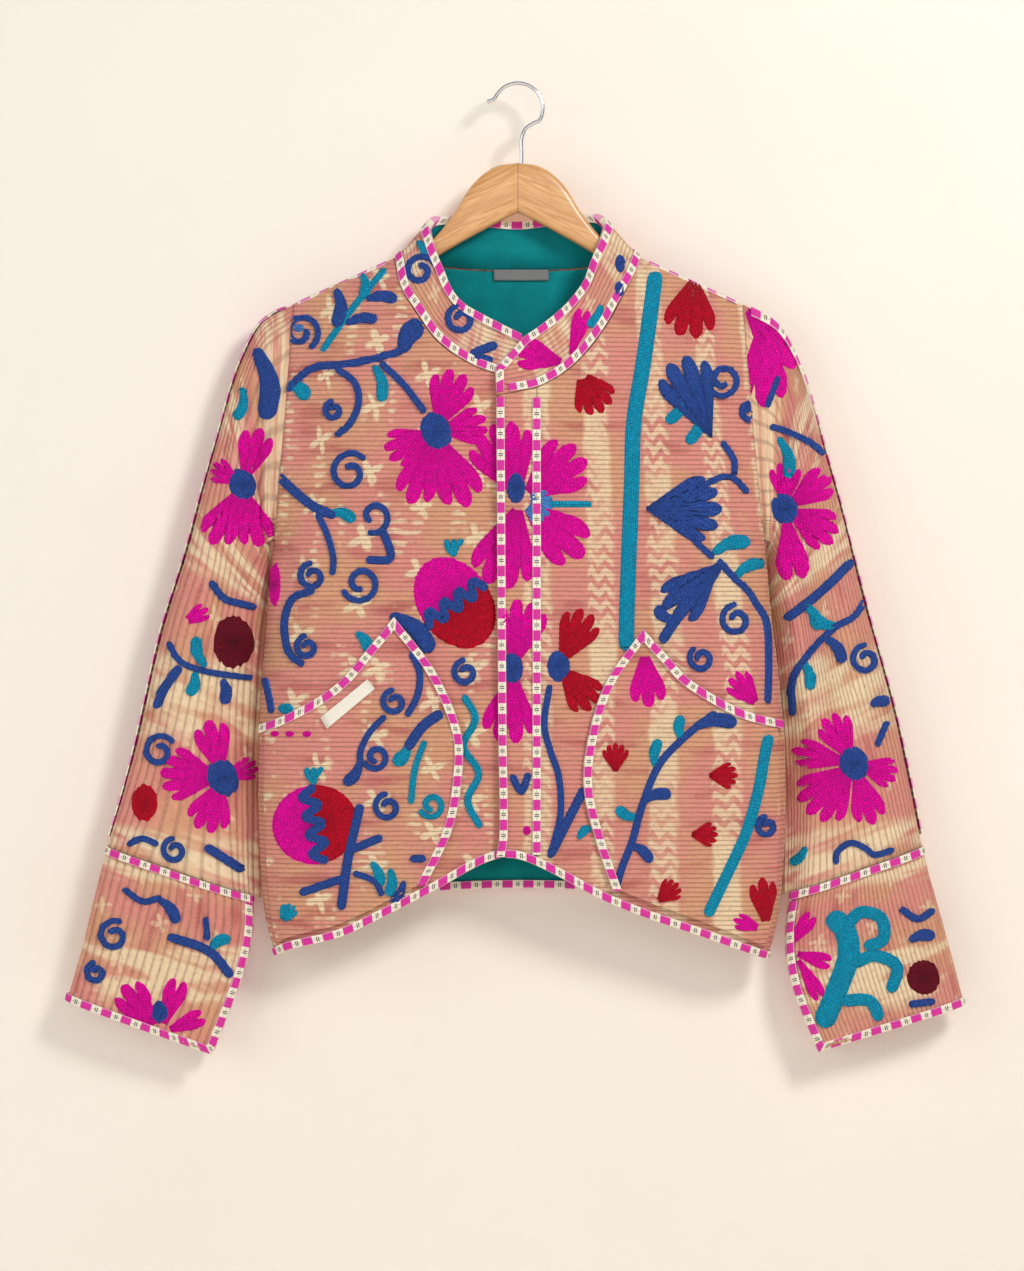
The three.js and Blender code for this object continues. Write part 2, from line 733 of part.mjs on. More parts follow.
// Wraps a free edge: outer leg, fold and inner leg. below is how much cloth lies under the skin.
function foldSection(below = 0) {
  const foot = QUILT_TOP + GAP;
  const top = foot + TAPE;
  const under = -below - UNDER_ROOM;
  const slot = -TAPE - GAP;
  return outline([
    [-TAPE_WIDTH, foot],
    [slot, foot],
    [slot, under],
    [-TAPE_WIDTH, under],
    [-TAPE_WIDTH, under - TAPE],
    [-TAPE, under - TAPE],
    [0, under],
    [0, foot],
    [-TAPE, top],
    [-TAPE_WIDTH, top],
  ]);
}
// Lies on a pocket's edge and turns down to the front beside it.
function pocketSection() {
  const side = TAPE_WIDTH / 2;
  const foot = POCKET_TOP + 2 * GAP;
  return outline([
    [-side, foot],
    [side - TAPE - GAP, foot],
    [side - TAPE - GAP, POCKET_LOW],
    [side, POCKET_LOW],
    [side, foot],
    [side - TAPE, foot + TAPE],
    [-side, foot + TAPE],
  ]);
}

const range = (count, make) => Array.from({ length: count + 1 }, (_, k) => make(k / count, k));

const between = (a, b, share) => [lerp(a[0], b[0], share), lerp(a[1], b[1], share)];

// Rows of a body panel: close together where the shoulder rounds over, then evenly spaced to the hem.
const SHOULDER_DROPS = [0, 0.6, 2.4, 6, 14, 30];
const BODY_ROWS = 30;
function rowZ(i, top, bottom) {
  const last = SHOULDER_DROPS.length - 1;
  if (i <= last) return top - SHOULDER_DROPS[i];
  return lerp(top - SHOULDER_DROPS[last], bottom, (i - last) / (BODY_ROWS - last));
}

const SEAM_A = 0.9975; // where a panel stops short of the side seam

// A panel of the body. columns are places across the body, or functions that give one at a height.
// every takes only each so many of its rows.
function bodyPanel(surface, columns, top, hem, { every = 1, ...options } = {}) {
  const count = columns.length - 1;
  const placeOf = (column, z) => (typeof column === "function" ? column(z) : column);
  const ends = columns.map((column) => {
    const end = (edge) => {
      let z = -500;
      for (let k = 0; k < 14; k++) z = edge(bodySkin("front", placeOf(column, z), z).x);
      return z;
    };
    const slope = (x) => (hem(x + 1) - hem(x - 1)) / 2;
    const inset = (x) => EDGE_INSET * Math.hypot(1, slope(x));
    return [end(top), end((x) => hem(x) + inset(x))];
  });
  const place = (i, j) => {
    const z = rowZ(i * every, ...ends[j]);
    return [placeOf(columns[j], z), z];
  };
  const ridged = (i) => i % 2 && i > SHOULDER_DROPS.length && i < BODY_ROWS;
  const ridge = (i, j) => (ridged(i) && j > 0 && j < count ? RIDGE : 0);
  return wall(surface, BODY_ROWS / every, count, place, { ridge, rowStep: 2, ...options });
}

const wasm = await Module();
wasm.setup();

function toManifold(geometry) {
  const bare = new THREE.BufferGeometry().setAttribute("position", geometry.getAttribute("position"));
  bare.setIndex(geometry.index);
  const merged = mergeVertices(bare, 1e-4);
  return new wasm.Manifold(
    new wasm.Mesh({
      numProp: 3,
      vertProperties: merged.attributes.position.array,
      triVerts: new Uint32Array(merged.index.array),
    }),
  );
}

function fromManifold(made) {
  const { vertProperties, triVerts } = made.getMesh();
  const geometry = new THREE.BufferGeometry();
  geometry.setAttribute("position", new THREE.BufferAttribute(vertProperties, 3));
  return geometry.setIndex(new THREE.BufferAttribute(triVerts, 1));
}

const jacket = new THREE.Group();
function add(name, geometry, colour) {
  const mesh = new THREE.Mesh(geometry, material(colour));
  mesh.name = name;
  jacket.add(mesh);
}

// Body panels
const SIDE_COLUMNS = [0.65, 0.75, 0.85, 0.93, SEAM_A];
const NECK_CORNER = bodyA(NECK_HALF + 0.01, RIDGE_NECK_Z);
const negative = (list) => list.map((a) => -a).reverse();
const NECK_COLUMNS = [0.245, 0.32, 0.37, 0.4, 0.4086, 0.4138, NECK_CORNER, 0.53];
const hemOf = (rows) => (x) => read(rows, "x", x).z;
const placketEdge = (z) => read(PLACKET_EDGE, "z", z).x;
const placketInner = (z) => read(PLACKET_INNER, "z", z).x;
const columnAt = (line, off) => (z) => bodyA(line(z) + off, z);
const rightColumns = [...negative([...NECK_COLUMNS, ...SIDE_COLUMNS]), -0.16, -0.07, bodyA(UNDERLAP_X, -500)];
const leftColumns = [columnAt(placketInner, HALF_GAP), 0.1, 0.145, 0.19, ...NECK_COLUMNS, ...SIDE_COLUMNS];
const placketColumns = [
  columnAt(placketEdge, EDGE_INSET),
  columnAt((z) => (placketEdge(z) + placketInner(z)) / 2, 0),
  columnAt(placketInner, -HALF_GAP),
];
const LINING_COLUMNS = [-0.378, -0.19, 0, 0.19, 0.378];
const BACK_OUTER = [0.4, 0.4105, NECK_CORNER, 0.53, ...SIDE_COLUMNS];
const backColumns = [...negative(BACK_OUTER), ...LINING_COLUMNS, ...BACK_OUTER];

add("front_right", bodyPanel(onFrontRight, rightColumns, topRight, hemOf(HEM_RIGHT)), "cloth");
add("front_left", bodyPanel(onFrontLeft, leftColumns, topLeft, hemOf(HEM_LEFT)), "cloth");
add("placket", bodyPanel(onFrontLeft, placketColumns, topLeft, hemOf(HEM_LEFT)), "cloth");
add("back", bodyPanel(onBack, backColumns, topBack, hemOf(HEM_BACK)), "cloth");
const lining = { lift: -GAP - LINING, thick: LINING, ridge: () => 0, rowStep: 1, every: 2 };
add("back_lining", bodyPanel(onBack, LINING_COLUMNS, topBack, hemOf(HEM_BACK), lining), "lining");

// Sleeves and cuffs: columns stand closer where the cloth turns round an edge
const SLEEVE_ROWS = 14;
const SLEEVE_SEAM = 0.0008;
const SLEEVE_JOIN = 0.0005; // leaves about a gap at the cuff
const sleeveV = (i) => (i / SLEEVE_ROWS) ** 1.25 * (1 - SLEEVE_JOIN);
const HALF_SLEEVE = [SLEEVE_SEAM, 0.025, 0.06, 0.1, 0.15, 0.2, 0.25, 0.3, 0.35, 0.4, 0.44, 0.472, 0.492];
const UNDERARM_OPEN = 0.012; // the halves stand further apart where four edges meet
function sleeveHalf(surface, turn) {
  const ridge = (i, j) => (j % 2 && i > 0 && i < SLEEVE_ROWS ? RIDGE : 0);
  const last = HALF_SLEEVE.length - 1;
  const open = (v, j) => (j === last ? UNDERARM_OPEN * (1 - smoothstep(v, 0, 0.15)) : 0);
  const place = (i, j) => [turn(HALF_SLEEVE[j] - open(sleeveV(i), j)), sleeveV(i)];
  return wall(surface, SLEEVE_ROWS, HALF_SLEEVE.length - 1, place, { ridge, rowStep: 2 });
}
const CUFF_ROWS = 6;
const CUFF_VENT = 0.45; // the vent's edges, each side of the inner fold
const CUFF_HALF = [0.025, 0.06, 0.1, 0.16, 0.22, 0.28, 0.34, 0.4];
const cuffColumns = (edge) => [-edge, ...negative(CUFF_HALF), 0, ...CUFF_HALF, edge];
const CUFF_LENGTH = 150;
const CUFF_JOIN = HALF_GAP / CUFF_LENGTH;
const CUFF_ARC = 235; // length round the cuff for each unit of its parameter, near the vent
function cuff(surface) {
  const columns = cuffColumns(CUFF_VENT - EDGE_INSET / CUFF_ARC);
  const ridge = (i, j) => (j % 2 && i > 0 && i < CUFF_ROWS ? RIDGE : 0);
  const place = (i, j) => [columns[j], lerp(CUFF_JOIN, 1 - EDGE_INSET / CUFF_LENGTH, i / CUFF_ROWS)];
  return wall(surface, CUFF_ROWS, columns.length - 1, place, { ridge });
}
for (const [side, onSleeve, onCuff] of [
  ["right", onSleeveRight, onCuffRight],
  ["left", onSleeveLeft, onCuffLeft],
]) {
  add(`sleeve_${side}_front`, sleeveHalf(onSleeve, (a) => a), "cloth");
  add(`sleeve_${side}_back`, sleeveHalf(onSleeve, (a) => 1 - a), "cloth");
  add(`cuff_${side}`, cuff(onCuff), "cloth");
}

// Collar: its columns stand at the body's columns, so the two seam lines run side by side.
const stationShare = (station) => station / (COLLAR.length - 1);
const RIGHT_SIDE = stationShare(RIGHT_SIDE_STATION);
const LEFT_SIDE = stationShare(LEFT_SIDE_STATION);
function seamShares(from, to, columns) {
  const xOf = (column) => bodySkin("front", typeof column === "function" ? column(-280) : column, -200).x;
  const rising = readAlong(COLLAR, to).seamX > readAlong(COLLAR, from).seamX ? 1 : -1;
  return columns
    .map(xOf)
    .filter((x) => Math.abs(x) < NECK_HALF - 0.3)
    .map((x) => {
      let [low, high] = [from, to];
      for (let k = 0; k < 40; k++) {
        const middle = (low + high) / 2;
        if ((readAlong(COLLAR, middle).seamX - x) * rising < 0) low = middle;
        else high = middle;
      }
      return low;
    })
    .sort((a, b) => a - b);
}
const collarShares = [
  ...seamShares(0, RIGHT_SIDE, rightColumns),
  RIGHT_SIDE,
  ...seamShares(RIGHT_SIDE, LEFT_SIDE, backColumns),
  LEFT_SIDE,
  ...seamShares(LEFT_SIDE, 1, [...leftColumns, ...placketColumns]),
  ...[8.25, 13.75].map(stationShare), // where the back's neckline turns at the sides
].sort((a, b) => a - b);
const collarHeight = (s) => collarSkin(s, 0).distanceTo(collarSkin(s, 1));
// How squarely the collar's columns meet its top edge, from 0 to 1.
function collarLean(s) {
  const { alongP, alongQ } = onCollar(s, 1);
  return Math.max(alongP.normalize().cross(alongQ.normalize()).length(), 0.5);
}
const collarWall = (shares, rows, clear, options) =>
  wall(
    onCollar,
    rows,
    shares.length - 1,
    (i, j) => {
      const height = collarHeight(shares[j]);
      const inset = EDGE_INSET / collarLean(shares[j]);
      return [shares[j], lerp((GAP + clear(shares[j])) / height, 1 - inset / height, i / rows)];
    },
    options,
  );
// The lining keeps clear of the hanger where the arms pass out of the neck.
const liningClear = (s) => 3 * smoothstep(Math.abs(readAlong(COLLAR, s).seamX), 98, 108);
const collarRidge = (i) => (i % 2 ? RIDGE : 0);
add("collar", collarWall(collarShares, 4, () => 0, { ridge: collarRidge, rowStep: 2 }), "cloth");
const linedShares = collarShares.filter((s) => s > stationShare(4.5) && s < stationShare(17.5));
const collarInside = { lift: -GAP - LINING, thick: LINING };
add("collar_lining", collarWall(linedShares, 2, liningClear, collarInside), "lining");

// Tapes. Each goes with the edge it binds on its right, seen from outside.
const BINDING_A = 0.992; // where hem bindings stop at the side seams
const liningUnder = (point) => (LINING + GAP) * (1 - smoothstep(Math.abs(point.x), 125, 130));
function edgePath(columns, hem) {
  return columns.map((column) => {
    let z = -750;
    for (let k = 0; k < 14; k++) z = hem(bodySkin("front", column, z).x);
    return [column, z];
  });
}
const bound = (columns) =>
  columns
    .map((column) => (typeof column === "function" ? column(-715) : column))
    .map((a) => clamp(a, -BINDING_A, BINDING_A));
const rightHemLine = edgePath(bound(rightColumns), hemOf(HEM_RIGHT));
add("hem_front_right", tape(onFrontRight, rightHemLine, foldSection()), "tape");
const leftHemStart = bodyA(-20 + TAPE_WIDTH + 4 * GAP, -713);
const leftHemColumns = [leftHemStart, ...bound([placketColumns[1], ...leftColumns])];
const leftHemLine = edgePath(leftHemColumns, hemOf(HEM_LEFT));
add("hem_front_left", tape(onFrontLeft, leftHemLine, foldSection()), "tape");
const backHemLine = edgePath(bound(backColumns).reverse(), hemOf(HEM_BACK));
const overLining = (share, point) => foldSection(liningUnder(point));
add("hem_back", tape(onBack, backHemLine, overLining), "tape");

const downFront = (line, top, bottom, count) =>
  range(count, (share) => {
    const z = lerp(top, bottom, share);
    return [bodyA(line(z), z), z];
  });
add("placket_edge", tape(onFrontLeft, downFront(placketEdge, -291, -711, 16), foldSection()), "tape");
add("placket_inner", tape(onFrontLeft, downFront(placketInner, -292, -709, 16), flatSection()), "tape");

const SEAM_TAPE_END = 0.984; // clear of the tape down the collar's front end
const COLLAR_LEAST = 0.45; // its columns lean where the top edge drops at the sides
const seamTapeV = (s) => (TAPE_WIDTH / 2 / collarLean(s) + 2 * GAP) / collarHeight(s);
// Keeps the shares whose points stand at least so far apart.
function spaced(shares, v, far) {
  const kept = [shares[0]];
  for (const s of shares) if (collarSkin(s, v).distanceTo(collarSkin(kept.at(-1), v)) > far) kept.push(s);
  return kept;
}
const topShares = spaced(collarShares, 1, 0.7).filter((s) => s < 0.98);
const footShares = [...spaced(collarShares, 0, 0.7).filter((s) => s < 0.98), SEAM_TAPE_END];
const collarTop = [...topShares.map((s) => [s, 1]), [1, 1], [1, 0.5], [1, 0.1]];
const linedSpan = [linedShares[0] - 0.01, linedShares.at(-1) + 0.01];
const overCollar = (share) => {
  const s = collarTop[Math.round(share * (collarTop.length - 1))][0];
  return foldSection(s > linedSpan[0] && s < linedSpan[1] ? LINING + 2 * GAP : 0);
};
add("collar_top", tape(onCollar, collarTop, overCollar, COLLAR_LEAST), "tape");
const seamLine = footShares.map((s) => [s, seamTapeV(s)]);
add("collar_seam", tape(onCollar, seamLine, flatSection(QUILT_TOP + 2 * GAP), COLLAR_LEAST), "tape");

const SHOULDER_COLUMNS = [bodyA(NECK_HALF + 4, RIDGE_NECK_Z), 0.53, 0.65, 0.75, 0.85, 0.93, 0.96];
const SHOULDER_TAPE = {
  right: { drop: 2.8, surface: onBack, side: -1, foot: QUILT_TOP + 3 * GAP },
  left: { drop: 8, surface: onFrontLeft, side: 1, foot: QUILT_TOP + GAP },
};
for (const [name, { drop, surface, side, foot }] of Object.entries(SHOULDER_TAPE)) {
  const line = SHOULDER_COLUMNS.map((a) => [side * a, ridgeZ(bodySkin("front", a, SHOULDER_Z).x) - drop]);
  add(`shoulder_${name}`, tape(surface, line, flatSection(foot)), "tape");
}

// Pockets: a patch between four lines of the front view, laid on the front.
const along = (points, share) => {
  const at = readAlong(points, share);
  return [at[0], at[1]];
};
const TOP_STEPS = 8;
const INNER_STEPS = 8;
function pocketLines({ side, top, inner }) {
  const middle = [
    ...range(TOP_STEPS, (share) => along(top, share ** 1.5)),
    ...range(INNER_STEPS, (share) => along(inner, share)).slice(1),
  ];
  const out = TAPE_WIDTH / 2 - EDGE_INSET;
  const edge = middle.map(([x, z], k) => {
    const [x0, z0] = middle[Math.max(k - 1, 0)];
    const [x1, z1] = middle[Math.min(k + 1, middle.length - 1)];
    const normal = (ax, az, bx, bz) => {
      const length = Math.hypot(bx - ax, bz - az) || 1;
      return [(side * (bz - az)) / length, (-side * (bx - ax)) / length];
    };
    const before = k ? normal(x0, z0, x, z) : normal(x, z, x1, z1);
    const after = k < middle.length - 1 ? normal(x, z, x1, z1) : before;
    const sum = [before[0] + after[0], before[1] + after[1]];
    const scale = (2 * out) / (sum[0] ** 2 + sum[1] ** 2);
    return [x + sum[0] * scale, z + sum[1] * scale];
  });
  return { middle, top: edge.slice(0, TOP_STEPS + 1), inner: edge.slice(TOP_STEPS) };
}
function pocket(surface, shape, hem) {
  const lines = pocketLines(shape);
  const onA = ([x, z]) => [bodyA(x, z), z];
  const floorAt = (a) => {
    let z = -770;
    for (let k = 0; k < 8; k++) z = read(hem, "x", bodySkin("front", a, z).x).z + POCKET_HEM_CLEAR;
    return z;
  };
  const sideA = shape.side * POCKET_SIDE_A;
  const top = lines.top.map(onA);
  top[0] = [sideA, lines.top[0][1]];
  const inner = lines.inner.map(onA);
  const [footA, footZ] = inner.at(-1);
  const [rows, columns] = [8, 10];
  const foot = [sideA, floorAt(sideA)];
  const place = (i, j) => {
    const [u, up] = [(j / columns) ** 1.3, 1 - i / rows];
    const [above, right] = [along(top, u), along(inner, 1 - up)];
    const below = [lerp(sideA, footA, u), floorAt(lerp(sideA, footA, u)) + u * (footZ - floorAt(footA))];
    const left = [sideA, lerp(floorAt(sideA), top[0][1], up)];
    return [0, 1].map((k) => {
      const corners = lerp(lerp(foot[k], inner.at(-1)[k], u), lerp(top[0][k], top.at(-1)[k], u), up);
      return lerp(below[k], above[k], up) + lerp(left[k], right[k], u) - corners;
    });
  };
  const ridge = (i, j) => (i % 2 && j > 0 && j < columns ? RIDGE : 0);
  return wall(surface, rows, columns, place, { lift: POCKET_LOW, ridge, rowStep: 2 });
}
for (const [name, shape, surface, hem] of [
  ["right", POCKET_RIGHT, onFrontRight, HEM_RIGHT],
  ["left", POCKET_LEFT, onFrontLeft, HEM_LEFT],
]) {
  add(`pocket_${name}`, pocket(surface, shape, hem), "cloth");
  const line = pocketLines(shape).middle.map(([x, z]) => [bodyA(x, z), z]);
  if (shape.side < 0) line.reverse();
  add(`pocket_tape_${name}`, tape(surface, line, pocketSection()), "tape");
}

// Sleeve and cuff tapes
const ROUND_STEPS = 4; // parts of a section that turns round an edge
const SLEEVE_TAPE_A = -0.008; // beside the shoulder fold
const SLEEVE_TAPE_END = 0.985;
const sleeveLine = (from) =>
  range(SLEEVE_ROWS - 1, (share, k) => [
    lerp(SLEEVE_TAPE_A, from, (1 - share) ** 4),
    Math.min(sleeveV(k + 1), SLEEVE_TAPE_END),
  ]);
// Its foot stands a little higher at the armhole, where the sleeve's normals turn.
const roundSection = (share) => {
  const room = lerp(9.5, 4, smoothstep(share, 0.02, 0.12)) * GAP;
  return flatSection(QUILT_TOP + room, ROUND_STEPS);
};
for (const [name, surface, from] of [
  ["right", onSleeveRight, -0.012],
  ["left", onSleeveLeft, 0.04],
]) {
  add(`sleeve_tape_${name}`, tape(surface, sleeveLine(from), roundSection), "tape");
}

const CUFF_TAPE_V = (TAPE_WIDTH / 2 + GAP) / CUFF_LENGTH;
const VENT_TOP = (TAPE_WIDTH + 11 * GAP) / CUFF_LENGTH;
for (const [name, surface, way] of [
  ["right", onCuffRight, 1],
  ["left", onCuffLeft, -1],
]) {
  const round = cuffColumns(CUFF_VENT).map((a) => a * way);
  const level = (v) => round.map((a) => [a, v]);
  const edge = (a, heights) => heights.map((v) => [a, v]);
  const down = [VENT_TOP, ...[1, 2, 3, 4, 5].map((k) => k / CUFF_ROWS), 0.93];
  const hem = [...edge(round[0], down), ...level(1), ...edge(round.at(-1), [...down].reverse())];
  add(`cuff_top_${name}`, tape(surface, level(CUFF_TAPE_V), flatSection(QUILT_TOP + 2 * GAP)), "tape");
  add(`cuff_hem_${name}`, tape(surface, hem, foldSection()), "tape");
}

// Labels, left bare
function neckLabel({ x, z, half, height, tip }) {
  const ends = [-1, -0.8, 0, 0.8, 1];
  const place = (i, j) => {
    const reach = lerp(tip, height, Math.min(1, (1 - Math.abs(ends[j])) * 5));
    const at = z + reach * (1 - i);
    return [bodyA(x + half * ends[j], at), at];
  };
  return wall(onBack, 2, 4, place, { thick: LABEL, lift: -2 * GAP - LINING - LABEL });
}
add("neck_label", neckLabel(NECK_LABEL), "greyLabel");
const pocketLabelPlace = (i, j) => {
  const [a, b, c, d] = POCKET_LABEL;
  const at = between(between(a, d, j / 4), between(b, c, j / 4), i);
  return [bodyA(...at), at[1]];
};
const onPocket = { thick: LABEL, lift: POCKET_TOP + GAP };
add("pocket_label", wall(onFrontRight, 1, 4, pocketLabelPlace, onPocket), "paleLabel");

// Hanger: wood in one piece, drilled for the hook's stem
const woodRows = [...WOOD.slice(1).reverse().map((row) => ({ ...row, x: -row.x })), ...WOOD];
const woodSection = (row) => {
  const deepest = (row.top - row.bottom) / 2 - 0.5;
  const half = WOOD_ROUND.map(({ y, down }) => [y * row.half, Math.min(down, deepest)]);
  const upper = half.map(([y, down]) => [y, row.top - down]);
  const lower = half.map(([y, down]) => [y, row.bottom + down]).reverse();
  const right = [...upper, ...lower];
  const left = right.slice(1, -1).reverse().map(([y, z]) => [-y, z]);
  return outline([...right, ...left]);
};
const woodRings = woodRows.map((row) => woodSection(row).map((p) => vec(row.x, p.x, p.y)));
const socket = new THREE.CylinderGeometry(WIRE_R + GAP, WIRE_R + GAP, 40, 20);
socket.rotateX(Math.PI / 2).translate(STEM_X, 0, SOCKET_Z + 20);
const wood = toManifold(bar(woodRings, woodSection(woodRows[0])));
add("hanger_wood", fromManifold(wood.subtract(toManifold(socket))), "wood");

const wire = new THREE.CatmullRomCurve3(HOOK_LINE.map(([x, z]) => vec(x, 0, z)), false, "centripetal");
const WIRE_SIDES = 10;
const wireAngles = range(WIRE_SIDES - 1, (share, k) => (k * 2 * Math.PI) / WIRE_SIDES);
const wireSection = outline(wireAngles.map((angle) => [Math.cos(angle), Math.sin(angle)]));
const wireRings = range(28, (share) => {
  const middle = wire.getPointAt(share);
  const side = wire.getTangentAt(share).cross(vec(0, 1, 0)).normalize();
  return wireSection.map(({ x, y }) =>
    middle.clone().addScaledVector(side, x * WIRE_R).add(vec(0, y * WIRE_R, 0)),
  );
});
add("hanger_hook", bar(wireRings, wireSection), "steel");

export default jacket;
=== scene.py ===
# A quilted and embroidered kantha jacket on a wooden hanger, against a pale wall.
#
# Metres. +Z is up, the fronts face -Y, +X is the wearer's left, and the origin is the top of the hook's
# inside. Left and right in names are the wearer's.
#
# Each cloth surface is a skin, a function from two parameters to points on the cloth's inner face. Cloth,
# tapes and labels are built from the skins, and the embroidery is laid on the finished cloth.
import math

import bmesh
import bpy
import numpy as np
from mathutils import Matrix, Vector
from mathutils.bvhtree import BVHTree


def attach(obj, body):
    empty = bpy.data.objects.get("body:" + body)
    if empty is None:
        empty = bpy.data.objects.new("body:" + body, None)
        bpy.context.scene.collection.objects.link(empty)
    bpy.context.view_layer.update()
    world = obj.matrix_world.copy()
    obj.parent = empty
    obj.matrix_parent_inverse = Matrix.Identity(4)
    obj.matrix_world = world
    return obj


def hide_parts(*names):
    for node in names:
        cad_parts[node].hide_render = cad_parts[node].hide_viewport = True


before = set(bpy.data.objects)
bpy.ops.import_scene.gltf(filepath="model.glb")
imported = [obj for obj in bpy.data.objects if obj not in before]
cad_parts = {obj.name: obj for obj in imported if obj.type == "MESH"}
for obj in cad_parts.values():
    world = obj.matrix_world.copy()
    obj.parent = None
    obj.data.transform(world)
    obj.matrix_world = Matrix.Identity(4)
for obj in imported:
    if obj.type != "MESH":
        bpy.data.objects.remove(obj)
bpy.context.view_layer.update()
rng = np.random.default_rng(7)

CM = 0.01

# Cloth
QUILT = 0.0022
RIDGE = 0.0006
QUILT_TOP = QUILT + RIDGE
LINING = 0.001
GAP = 0.0003
TAPE_WIDTH = 0.0076
TAPE = 0.0011
EDGE_INSET = TAPE + 3 * GAP
UNDER_ROOM = 2 * GAP
ROW_PITCH = 0.0043  # between rows of running stitch
ROW_SAMPLES = 3  # mesh rows for each row of stitches
RIB_PITCH = 0.0078  # the broader rows of the right sleeve

# Shoulders and neck
NECK_HALF = 0.112
RIDGE_NECK_Z = -0.1615
RIDGE_SLOPE = 0.46
SHOULDER_Z = -0.205
UNDERARM_Z = -0.425
BACK_NECK_Z = -0.171
RISE = {"front": 0.110, "back": 0.045}

# How the sides round off, seen from above
SIDE_ROUND = 0.045
FLAT_SHARE = 0.6
CROWN = 0.28
ARMHOLE_TURN = math.radians(52)
SEAM_A = 0.9975

# Front overlap
OVERLAP = 0.007
OVERLAP_END_X = 0.024
OVERLAP_FADE = 0.090
UNDERLAP_X = 0.012


def table(names, rows):
    return dict(zip(names.split(), np.array(rows, float).T))


BODY = table("z right left front back", [
    (-0.810, -0.222, 0.230, 0.024, 0.015),
    (-0.771, -0.233, 0.240, 0.025, 0.015),
    (-0.715, -0.238, 0.246, 0.026, 0.015),
    (-0.640, -0.240, 0.247, 0.027, 0.016),
    (-0.560, -0.237, 0.243, 0.027, 0.016),
    (-0.490, -0.232, 0.234, 0.026, 0.016),
    (-0.425, -0.226, 0.228, 0.026, 0.016),
    (-0.205, -0.209, 0.209, 0.024, 0.015),
    (-0.100, -0.209, 0.209, 0.024, 0.015),
])
NECK_RIGHT = table("x z", [
    (-0.112, -0.1615), (-0.108, -0.187), (-0.097, -0.208), (-0.076, -0.238), (-0.045, -0.260),
    (-0.019, -0.270), (0.020, -0.279),
])
NECK_LEFT = table("x z", [
    (-0.022, -0.290), (0.003, -0.286), (0.024, -0.280), (0.052, -0.261), (0.078, -0.230),
    (0.097, -0.196), (0.107, -0.176), (0.112, -0.1615),
])
HEM_RIGHT = table("x z", [
    (-0.225, -0.806), (-0.208, -0.797), (-0.162, -0.785), (-0.114, -0.762), (-0.072, -0.740),
    (-0.030, -0.717), (0.020, -0.703),
])
HEM_LEFT = table("x z", [
    (-0.022, -0.712), (0, -0.713), (0.027, -0.724), (0.075, -0.750), (0.113, -0.766),
    (0.174, -0.787), (0.233, -0.809),
])
HEM_BACK = table("x z", [
    (-0.225, -0.806), (-0.165, -0.777), (-0.105, -0.752), (-0.050, -0.745), (0.050, -0.745),
    (0.105, -0.752), (0.165, -0.778), (0.233, -0.809),
])
PLACKET_EDGE = table("z x", [(-0.712, -0.020), (-0.690, -0.017), (-0.600, -0.018), (-0.285, -0.020)])
PLACKET_INNER = table("z x", [(-0.712, 0.017), (-0.600, 0.017), (-0.285, 0.017)])

# Sleeve sections from the armhole to the cuff: the outer and inner edges of each side, and what both sides
# share, which is the depths, the middle plane's y, the rounding and the share that tucks in.
SLEEVE_NAMES = "outer_x outer_z inner_x inner_z front back outer_y inner_y round tuck"
SLEEVE_DEPTHS = [
    (0.015, 0.013, 0, 0, 0.026, 0), (0.012, 0.012, 0.004, 0.002, 0.026, 0),
    (0.012, 0.011, 0.005, 0.009, 0.026, 0.3), (0.014, 0.011, 0.004, 0.012, 0.028, 0.75),
    (0.018, 0.011, 0.003, 0.013, 0.030, 0.85), (0.020, 0.011, 0.002, 0.013, 0.032, 0.85),
    (0.021, 0.011, 0.002, 0.013, 0.032, 0.85), (0.020, 0.011, 0.002, 0.013, 0.032, 0.85),
    (0.019, 0.011, 0.002, 0.012, 0.032, 0.85), (0.017, 0.011, 0.003, 0.011, 0.030, 0.8),
    (0.015, 0.011, 0.004, 0.008, 0.026, 0.6),
]
CUFF_DEPTHS = [
    (0.015, 0.011, 0.004, 0.008, 0.026, 0.6), (0.014, 0.011, 0.005, 0.007, 0.026, 0.5),
    (0.013, 0.010, 0.005, 0.005, 0.025, 0.2), (0.012, 0.010, 0.005, 0.005, 0.024, 0),
]


def sleeve_table(depths, edges):
    return table(SLEEVE_NAMES, [edge + deep for edge, deep in zip(edges, depths)])


SLEEVE_RIGHT = sleeve_table(SLEEVE_DEPTHS, [
    (-0.209, -0.204, -0.222, -0.420), (-0.236, -0.220, -0.232, -0.425), (-0.254, -0.254, -0.231, -0.436),
    (-0.267, -0.292, -0.228, -0.449), (-0.281, -0.342, -0.228, -0.463), (-0.294, -0.388, -0.229, -0.480),
    (-0.308, -0.441, -0.231, -0.505), (-0.328, -0.502, -0.234, -0.552), (-0.345, -0.575, -0.237, -0.618),
    (-0.362, -0.645, -0.238, -0.688), (-0.3795, -0.704, -0.238, -0.753),
])
SLEEVE_LEFT = sleeve_table(SLEEVE_DEPTHS, [
    (0.209, -0.204, 0.224, -0.420), (0.239, -0.223, 0.234, -0.425), (0.256, -0.256, 0.232, -0.436),
    (0.269, -0.293, 0.229, -0.449), (0.282, -0.338, 0.229, -0.463), (0.295, -0.382, 0.230, -0.480),
    (0.309, -0.436, 0.233, -0.505), (0.325, -0.498, 0.238, -0.552), (0.345, -0.569, 0.243, -0.618),
    (0.359, -0.630, 0.245, -0.685), (0.374, -0.704, 0.245, -0.750),
])
CUFF_RIGHT = sleeve_table(CUFF_DEPTHS, [
    (-0.3795, -0.704, -0.238, -0.753), (-0.390, -0.742, -0.238, -0.788), (-0.402, -0.791, -0.249, -0.832),
    (-0.418, -0.847, -0.275, -0.899),
])
